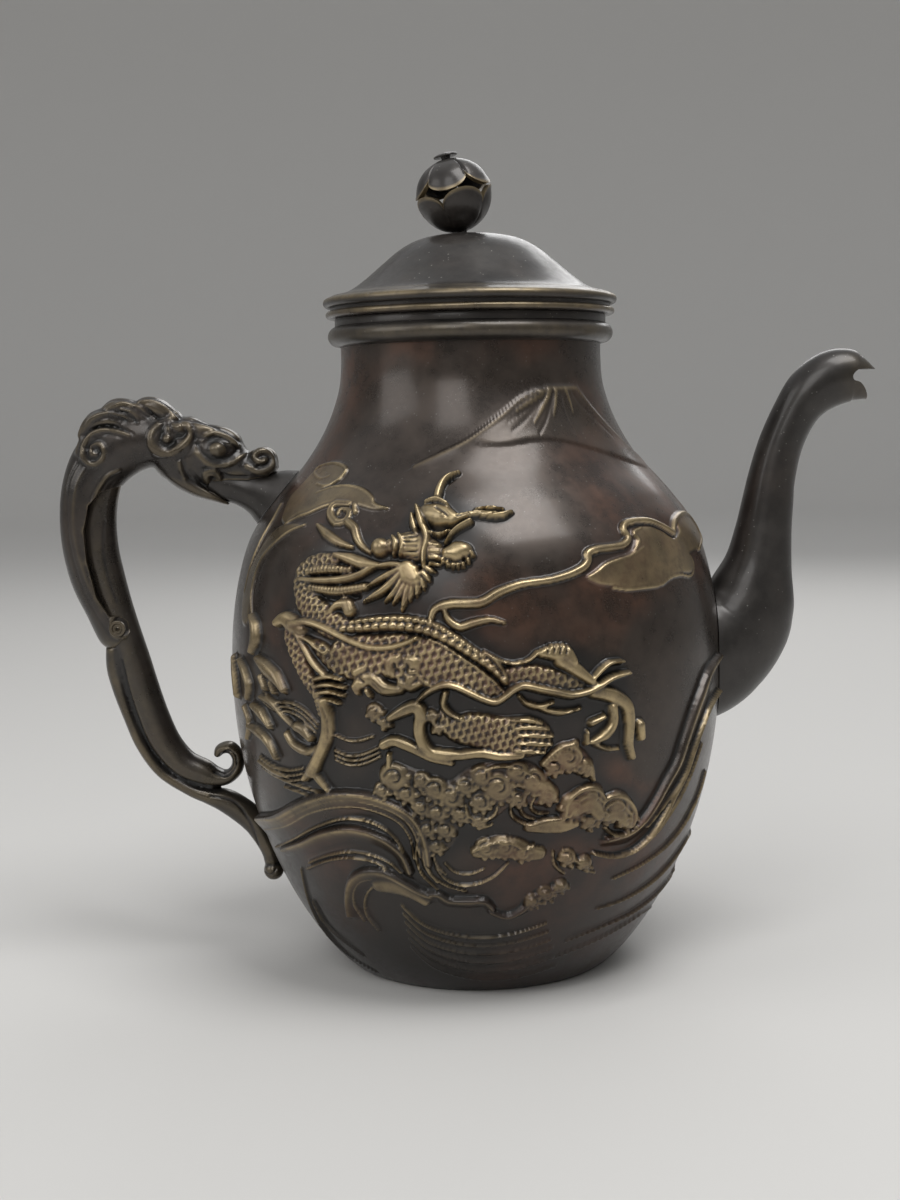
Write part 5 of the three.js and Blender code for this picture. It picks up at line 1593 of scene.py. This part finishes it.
class EWER_OT_lid(EwerOperator, bpy.types.Operator):
    """Turns the mouth ring, the base plate and the lid with its beads and its short tube"""
    bl_idname = "ewer.lid"
    bl_label = "Lid, mouth ring and base"

    OGEE = ((0.94, 0.035), (0.83, 0.105), (0.72, 0.275), (0.6, 0.51), (0.47, 0.755), (0.35, 0.9), (0.22, 0.97),
            (0.1, 0.995), (0, 1))
    COLLAR_HEIGHT = 6.6
    COLLAR_OVERLAP = 6
    SEAT_RADIUS = 45.2
    SEAT_RISE = 2.6
    BEZEL_PLAY = 0.6
    BEZEL_WALL = 1.8
    BEZEL_DEPTH = 9
    DOME_WALL = 2.2

    def execute(self, context):
        body, lid = sizes("body", "lid")
        seat = lid.seat_height
        mouth = body.neck_radius - body.wall
        self.mouth_ring(body, lid, mouth)
        self.base_plate(body)
        bezel = mouth - self.BEZEL_PLAY
        foot = seat + lid.ring_height
        bead = lid.ring_height / 2 - 0.1
        ring = turned("lid_lower_bead", softened([
            (bezel + GAP, seat), (lid.ring_radius - bead, seat)], 0.1, closed=False).tolist()
            + arc(lid.ring_radius - bead, seat + bead, bead, -80, 80, 12)
            + [(lid.groove_radius, seat + 2 * bead), (lid.groove_radius, foot), (bezel + GAP, foot)])
        band_wear(ring, [(lid.ring_radius, seat + 1.5 * bead, 1.8, 0.4)])
        dress(ring, LID, "rubbed_bronze", "lid_seat_ring")
        inside = bezel - self.BEZEL_WALL
        sleeve = turned("lid_tube", softened([
            (bezel, seat - self.BEZEL_DEPTH), (bezel, foot), (inside, foot), (inside, seat - self.BEZEL_DEPTH)], 0.5))
        dress(sleeve, LID, "dark_bronze", "lid_bezel")
        self.dome(lid, bezel, foot)
        return {"FINISHED"}

    def mouth_ring(self, body, lid, mouth):
        seat = lid.seat_height
        top = seat - self.SEAT_RISE
        bead = self.COLLAR_HEIGHT / 2
        low = top - self.COLLAR_HEIGHT
        sleeve = body.neck_radius + GAP
        outline = [(sleeve, body.neck_top - self.COLLAR_OVERLAP)]
        outline += arc(lid.collar_radius - bead, low + bead, bead, -78, 76, 24)
        outline += [(self.SEAT_RADIUS, top), (self.SEAT_RADIUS, seat - 0.5), (self.SEAT_RADIUS - 0.15, seat - 0.12),
                    (self.SEAT_RADIUS - 0.5, seat), (mouth + 0.4, seat), (mouth + 0.1, seat - 0.15),
                    (mouth, seat - 0.5), (mouth, body.neck_top + GAP), (sleeve, body.neck_top + GAP)]
        made = turned("mouth_collar", outline)
        band_wear(made, [(lid.collar_radius, low + bead, 3.0, 0.7)])
        dress(made, EWER, "dark_bronze", "mouth_ring")

    def base_plate(self, body):
        edge = body.foot_radius - body.foot_width - GAP
        low = [(r, PLATE_BOTTOM + 0.12 * (math.cos(r * 1.1) - 1)) for r in np.linspace(2, edge - 1, 40)]
        made = turned("base_disc", [(0, PLATE_BOTTOM), *low, (edge - 0.3, PLATE_BOTTOM), (edge, PLATE_BOTTOM + 0.3),
                                    (edge, PLATE_TOP - 0.2), (edge - 0.2, PLATE_TOP), (0, PLATE_TOP)])
        dress(made, EWER, "dark_bronze", "base_plate")

    def dome(self, lid, bezel, foot):
        base = foot + lid.groove_height
        bead = lid.bead_thickness / 2
        bead_top = base + lid.bead_thickness
        ogee = smooth_line([(r * lid.bead_radius, bead_top + lid.dome_rise * z) for r, z in self.OGEE], 10)
        inner = ogee[::-1] + outline_normals(ogee[::-1]) * self.DOME_WALL
        inner = inner[(inner[:, 0] > 0.3) & (inner[:, 0] < bezel - self.BEZEL_WALL)]
        outline = [(lid.groove_radius, foot), (lid.groove_radius, base)]
        outline += arc(lid.bead_radius - bead, base + bead, bead, -75, 82, 16)
        outline += ogee.tolist() + [(0, dome_top(lid) - self.DOME_WALL)] + inner.tolist()
        outline.append((bezel - self.BEZEL_WALL, foot))
        made = turned("domed_lid", outline)
        smooth_edges(cut_by(made, pin_shape(lid, "cutter_bore", EWER_OT_bud.BORE, -26, 0)), sharp=40)
        band_wear(made, [(lid.bead_radius - 0.4, base + 1.8 * bead, 2.0, 2.6),
                         (0.9 * lid.bead_radius, bead_top + 1.2, 3, 0.9)])
        dress(made, LID, "dark_bronze", "lid_dome")


BUD_OFFSET = 2.0


def dome_top(lid):
    return lid.seat_height + lid.ring_height + lid.groove_height + lid.bead_thickness + lid.dome_rise


def bud_matrix(lid):
    """The place of the bud, whose own Z is its axis; millimetres."""
    reach = BUD_OFFSET + lid.bud_radius * math.sin(lid.bud_lean)
    centre = Vector((-reach, 0, dome_top(lid) + GAP + lid.bud_radius))
    return Matrix.Translation(centre) @ Matrix.Rotation(-lid.bud_lean, 4, "Y")


def placed(points, matrix):
    matrix = np.array(matrix)
    return np.asarray(points) @ matrix[:3, :3].T + matrix[:3, 3]


def pin_shape(lid, name, radius, low, high):
    points, faces = round_tube([(0, 0, low), (0, 0, (low + high) / 2), (0, 0, high)], [radius] * 3, 4, 40)
    return solid_object(name, [(placed(points, bud_matrix(lid)), faces)])


class EWER_OT_bud(EwerOperator, bpy.types.Operator):
    """Raises the openwork bud of petals with its pin and washer"""
    bl_idname = "ewer.bud"
    bl_label = "Bud"

    SHELL = 1.2
    TIP = 3.5
    CUSP = 25
    PETAL_GAP = 0.3
    BORE = 1.8
    PIN_RADIUS = 1.5
    BUTTON_RADIUS = 4
    BUTTON_HEIGHT = 1.3
    WASHER_RADIUS = 5
    WASHER_THICKNESS = 1.2
    TAIL_RADIUS = 2.7
    TAIL_HEIGHT = 1.1
    CROWN_TURN = -9
    CUP_TURN = 12

    def execute(self, context):
        lid, = sizes("lid")
        dress(self.cap(lid, "bud_upper_petals", 1, self.CROWN_TURN, 0.55), LID, "dark_bronze", "bud_crown")
        dress(self.cap(lid, "bud_lower_petals", -1, self.CUP_TURN, 0.12), LID, "dark_bronze", "bud_cup")
        self.pin(lid)
        self.washer(lid)
        return {"FINISHED"}

    def cap(self, lid, name, up, turn_to, bulge):
        """One half of the bud, from the hole round its pole to the rounded tips of its petals."""
        per_petal, down = 40, 26
        around = lid.petals * per_petal
        share = np.abs((np.arange(around) % per_petal) / per_petal * 2 - 1)
        tip = self.PETAL_GAP / 2 + up * self.TIP
        round_tip = np.sqrt(np.clip(1 - share ** 2, 0, 1))
        edge = tip + self.CUSP * (1 - round_tip)
        pole = 90 - math.degrees(math.asin(self.BORE / (lid.bud_radius - self.SHELL)))
        middle = 180 / lid.petals
        turn = np.radians(-90 + turn_to - middle + 360 * np.arange(around) / around)
        rings, marks = [], []
        steps = np.linspace(0, 1, down + 1)
        back = np.linspace(1, 0, down + 1)
        for shell, step in [(0, step) for step in steps] + [(self.SHELL, step) for step in back]:
            latitude = np.radians(pole + (edge - pole) * step)
            swell = bulge * round_tip * smoothstep(0.1, 0.7, step)
            crease = bulge * 0.9 * np.exp(-((1 - share) / 0.08) ** 2) * smoothstep(0.1, 0.5, step)
            rim = 0.3 * smoothstep(0.9, 0.98, step)
            radius = lid.bud_radius - bulge * 0.6 + swell - crease + rim
            if shell:
                radius = np.minimum(radius - shell, lid.bud_radius - shell) - 2 * rim * 0.3
            flat = radius * np.cos(latitude)
            rings.append(np.stack([flat * np.cos(turn), flat * np.sin(turn), up * radius * np.sin(latitude)], -1))
            marks.append(np.full(around, 3.5 * smoothstep(0.93, 0.99, step)))
        points = placed(np.concatenate(rings), bud_matrix(lid))
        faces = grid_faces(len(rings), around, closed_rows=True)
        if up > 0:
            faces = faces[:, ::-1]
        made = solid_object(name, [(points, faces.tolist())], 50)
        set_attribute(made.data, "worn", np.concatenate(marks))
        return made

    def pin(self, lid):
        top = dome_top(lid)
        centre = top + GAP + lid.bud_radius
        head = lid.bud_radius + GAP
        drop = top - EWER_OT_lid.DOME_WALL - centre - self.WASHER_THICKNESS - 3 * GAP
        low = drop / math.cos(lid.bud_lean) - GAP
        button = [(self.BUTTON_RADIUS * math.cos(a), head + self.BUTTON_HEIGHT * (0.3 + 0.7 * math.sin(a)))
                  for a in np.linspace(0, math.pi / 2, 14)]
        button[-1] = (0, button[-1][1])
        made = turned("bud_pin_and_button", [
            (0, low - self.TAIL_HEIGHT), (self.TAIL_RADIUS - 0.5, low - self.TAIL_HEIGHT),
            (self.TAIL_RADIUS, low - 0.5 * self.TAIL_HEIGHT), (self.TAIL_RADIUS, low), (self.PIN_RADIUS, low),
            (self.PIN_RADIUS, head), (self.BUTTON_RADIUS - 0.2, head), *button], 64)
        set_points(made.data, placed(vertex_points(made.data), bud_matrix(lid)))
        dress(made, LID, "dark_bronze", "bud_pin")

    def washer(self, lid):
        top = dome_top(lid) - EWER_OT_lid.DOME_WALL - GAP
        low, soft = top - self.WASHER_THICKNESS, 0.2
        made = turned("washer_under_dome", [
            (0, low), (self.WASHER_RADIUS - soft, low), (self.WASHER_RADIUS, low + soft),
            (self.WASHER_RADIUS, top - soft), (self.WASHER_RADIUS - soft, top), (0, top)], 96)
        set_points(made.data, vertex_points(made.data) - [BUD_OFFSET, 0, 0])
        cut_by(made, pin_shape(lid, "cutter_washer", self.BORE, -34, 0))
        dress(made, LID, "dark_bronze", "bud_washer")


def finish_handle(made, stands_for, *cutters):
    """Cuts a sculpted piece of the handle by its neighbours, marks what is worn and what lies low, and dresses it."""
    smooth_edges(cut_by(made, *cutters), sharp=58)
    mark_wear(made.data, 0.3, 20)
    dress(made, EWER, "handle_bronze", stands_for)


class EWER_OT_dragon_head(EwerOperator, bpy.types.Operator):
    """Models the dragon's head with its mane and the sheath that clasps the bar"""
    bl_idname = "ewer.dragon_head"
    bl_label = "Dragon's head and sheath"

    def execute(self, context):
        body, handle, stage = sizes("body", "handle", "stage")
        parts = [tube(stations, steps, 40) for stations, steps in (
            (NECK_STATIONS, 80), (SKULL_STATIONS, 50), (JAW_STATIONS, 24))]
        one_side = [
            egg((-71.0, -3.4, 170.4), (5.0, 4.0, 4.7)),
            egg((-103.4, -7.0, 177.4), (5.6, 3.6, 5.4)),
            egg((-99.6, -7.2, 181.6), (3.2, 2.6, 3)),
            egg((-128.2, -5.4, 173.4), (3.8, 3.6, 3.8)),
            egg((-85.6, -7.6, 174.8), (3.4, 2.6, 2.6)),
            egg((-90.6, -5.6, 180.6), (9.4, 3.4, 2.8), -16),
            egg((-82.6, -5.8, 177.8), (5.2, 3.0, 2.2), -28),
        ]
        for lock in MANE_LOCKS:
            for spread, shift in ((5.2, 0.0), (1.6, 0.9)):
                one_side.append(round_tube([(x, -spread, z + shift) for x, z, _ in lock],
                                           [r for _, _, r in lock], 24, 18))
        parts += one_side + [mirrored(part) for part in one_side]
        made = sculpted("dragon_head_and_sheath", parts, handle.grain, 3)
        chase(made, HEAD_STROKES, PhotoCamera(stage), HEAD_CHEEK, handle.carving)
        set_points(made.data, averaged(vertex_points(made.data), edge_pairs(made.data), 1))
        finish_handle(made, "dragon_head", slab("cutter_sheath", SHEATH_EDGE, 14),
                      solid_object("cutter_bar", [tube(BAR_STATIONS, 90, 32, GAP)]),
                      solid_object("cutter_lug", [tube(LUG_STATIONS, 40, 32, GAP)]), body_solid(body, GAP))
        return {"FINISHED"}


class EWER_OT_branch(EwerOperator, bpy.types.Operator):
    """Models the bar of the handle, its inner curl and the tendril that lies on the body"""
    bl_idname = "ewer.branch"
    bl_label = "Bar, curl and tendril"

    def execute(self, context):
        body, handle, stage = sizes("body", "handle", "stage")
        radius_at = skin_radius(body)
        tendril = list(TENDRIL_STATIONS)
        tendril += [(-(float(radius_at(z)) + off), z, half, half, width) for z, off, half, width in TENDRIL_ON_SKIN]
        z, off, curl_radius, curl_width = TENDRIL_CURL
        curl = egg((-(float(radius_at(z)) + off), 0, z), (curl_radius + 0.2, curl_width + 0.6, curl_radius + 0.2))
        parts = [tube(BAR_STATIONS, 200, 40), tube(tendril, 140, 36), curl]
        made = sculpted("bar_and_tendril", parts, handle.grain, 2)
        chase(made, BRANCH_STROKES, PhotoCamera(stage), BAR_CHEEK, handle.carving)
        finish_handle(made, "handle_branch", body_solid(body, GAP))
        return {"FINISHED"}


class EWER_OT_fittings(EwerOperator, bpy.types.Operator):
    """Makes the lug on the shoulder and the ringed pin through the sheath"""
    bl_idname = "ewer.fittings"
    bl_label = "Lug and sheath pin"

    def execute(self, context):
        body, handle = sizes("body", "handle")
        lug = solid_object("shoulder_lug", [tube(LUG_STATIONS, 60, 48)])
        smooth_edges(cut_by(lug, body_solid(body, GAP)), sharp=40)
        dress(lug, EWER, "dark_bronze", "handle_lug")
        head = handle.pin_head
        face = SHEATH_PIN_REACH + GAP
        top = face + SHEATH_PIN_PROUD
        half = [(SHEATH_PIN_RADIUS, 0), (SHEATH_PIN_RADIUS, face), (head, face), (head, top - 0.5),
                (head - 0.15, top - 0.12), (head - 0.5, top), (head - 1.0, top - 0.1), (head - 1.35, top - 0.6),
                (0.9, top - 0.7), (0.45, top - 0.35)]
        pin = turned("ringed_pin", [(0, 0.2 - top), *[(r, -y) for r, y in half[1:]], *half[::-1],
                                    (0, top - 0.2)], 64)
        points = vertex_points(pin.data)
        set_points(pin.data, np.column_stack([points[:, 0] + SHEATH_PIN[0], -points[:, 2],
                                              points[:, 1] + SHEATH_PIN[1]]))
        mark_wear(pin.data, 0.1, 6)
        dress(pin, EWER, "rubbed_bronze", "sheath_pin", finish="handle_bronze")
        return {"FINISHED"}


class EWER_OT_stage(EwerOperator, bpy.types.Operator):
    """Sets the floor, the lamps, the even light and the camera"""
    bl_idname = "ewer.stage"
    bl_label = "Stage"

    FLOOR_RADIUS = 2600
    SWEEP = 1100
    WALL_TOP = 2400

    def execute(self, context):
        stage, = sizes("stage")
        self.floor()
        for name, place, level, width, height, power in (
                ("Overhead softbox", (0.30, -0.36, 1.15), 0.15, 0.6, 0.6, stage.key),
                ("Front softbox", (-0.35, -1.1, 0.95), 0.13, 0.55, 0.8, stage.fill),
                ("Left fill", (-1.25, -0.5, 0.75), 0.12, 0.8, 0.8, stage.fill),
                ("Back rim", (0.35, 1.15, 0.85), 0.13, 0.9, 0.6, stage.fill)):
            light = bpy.data.lights.new(name, "AREA")
            light.shape = "RECTANGLE"
            light.size, light.size_y, light.energy = width, height, power
            lamp = bpy.data.objects.new(name, light)
            lamp.location = place
            lamp.rotation_euler = (Vector((0, 0, level)) - Vector(place)).to_track_quat("-Z", "Y").to_euler()
            context.scene.collection.objects.link(lamp)
        world = bpy.data.worlds.new("Even studio light")
        world.use_nodes = True
        background = world.node_tree.nodes["Background"]
        background.inputs["Color"].default_value = (0.94, 0.95, 0.97, 1)
        background.inputs["Strength"].default_value = stage.sky
        context.scene.world = world
        self.camera(context, stage)
        context.scene.view_settings.view_transform = "Standard"
        return {"FINISHED"}

    def floor(self):
        """A round floor that sweeps up into a pale wall on every side."""
        outline = [(r, 0.0) for r in np.linspace(0, self.FLOOR_RADIUS, 12)[1:]]
        outline += [(self.FLOOR_RADIUS + self.SWEEP * math.sin(a), self.SWEEP * (1 - math.cos(a)))
                    for a in np.linspace(0, math.pi / 2, 16)[1:]]
        outline.append((self.FLOOR_RADIUS + self.SWEEP, self.WALL_TOP))
        columns = 96
        points = swept(np.array(outline), even_turns(columns)).reshape(-1, 3)
        faces = grid_faces(len(outline), columns)[:, ::-1].tolist()
        faces += [[len(points), k, (k + 1) % columns] for k in range(columns)]
        made = make_object("floor_sweep", np.vstack([points, [0, 0, 0]]), faces)
        paint = bpy.data.materials.new("Plain pale floor")
        paint.use_nodes = True
        shader = paint.node_tree.nodes["Principled BSDF"]
        shader.inputs["Base Color"].default_value = (*bpy.context.scene.ewer_stage.floor, 1)
        shader.inputs["Roughness"].default_value = 0.85
        made.data.materials.append(paint)

    def camera(self, context, stage):
        eye = PhotoCamera(stage)
        data = bpy.data.cameras.new("Photo camera")
        data.sensor_width = SENSOR
        data.lens = FOCAL_PIXELS / PHOTO_HEIGHT * SENSOR
        data.clip_start, data.clip_end = 0.01, 20
        made = bpy.data.objects.new("Photo camera", data)
        axes = Matrix([eye.right, eye.up, -eye.forward]).transposed().to_4x4()
        made.matrix_world = Matrix.Translation(Vector(eye.place) * MM) @ axes
        context.scene.collection.objects.link(made)
        context.scene.camera = made


OPERATORS = (EWER_OT_stage, EWER_OT_body, EWER_OT_spout, EWER_OT_lid, EWER_OT_bud, EWER_OT_dragon_head,
             EWER_OT_branch, EWER_OT_fittings)


class EWER_PT_panel(bpy.types.Panel):
    """Sizes, colours and the pieces of the ewer"""
    bl_idname = "EWER_PT_panel"
    bl_label = "Bronze ewer"
    bl_space_type = "VIEW_3D"
    bl_region_type = "UI"
    bl_category = "Ewer"

    def draw(self, context):
        for key, group in PROPERTY_GROUPS.items():
            box = self.layout.box()
            box.label(text=group.__doc__)
            values = getattr(context.scene, key)
            for name in group.__annotations__:
                box.prop(values, name)
        for operator in OPERATORS:
            self.layout.operator(operator.bl_idname)


CLASSES = (*PROPERTY_GROUPS.values(), *OPERATORS, EWER_PT_panel)


def register():
    for made in CLASSES:
        bpy.utils.register_class(made)
    for key, group in PROPERTY_GROUPS.items():
        setattr(bpy.types.Scene, key, PointerProperty(type=group))


def unregister():
    for key in PROPERTY_GROUPS:
        delattr(bpy.types.Scene, key)
    for made in reversed(CLASSES):
        bpy.utils.unregister_class(made)


def main():
    register()
    for operator in OPERATORS:
        category, name = operator.bl_idname.split(".")
        getattr(getattr(bpy.ops, category), name)()


if __name__ == "__main__":
    main()
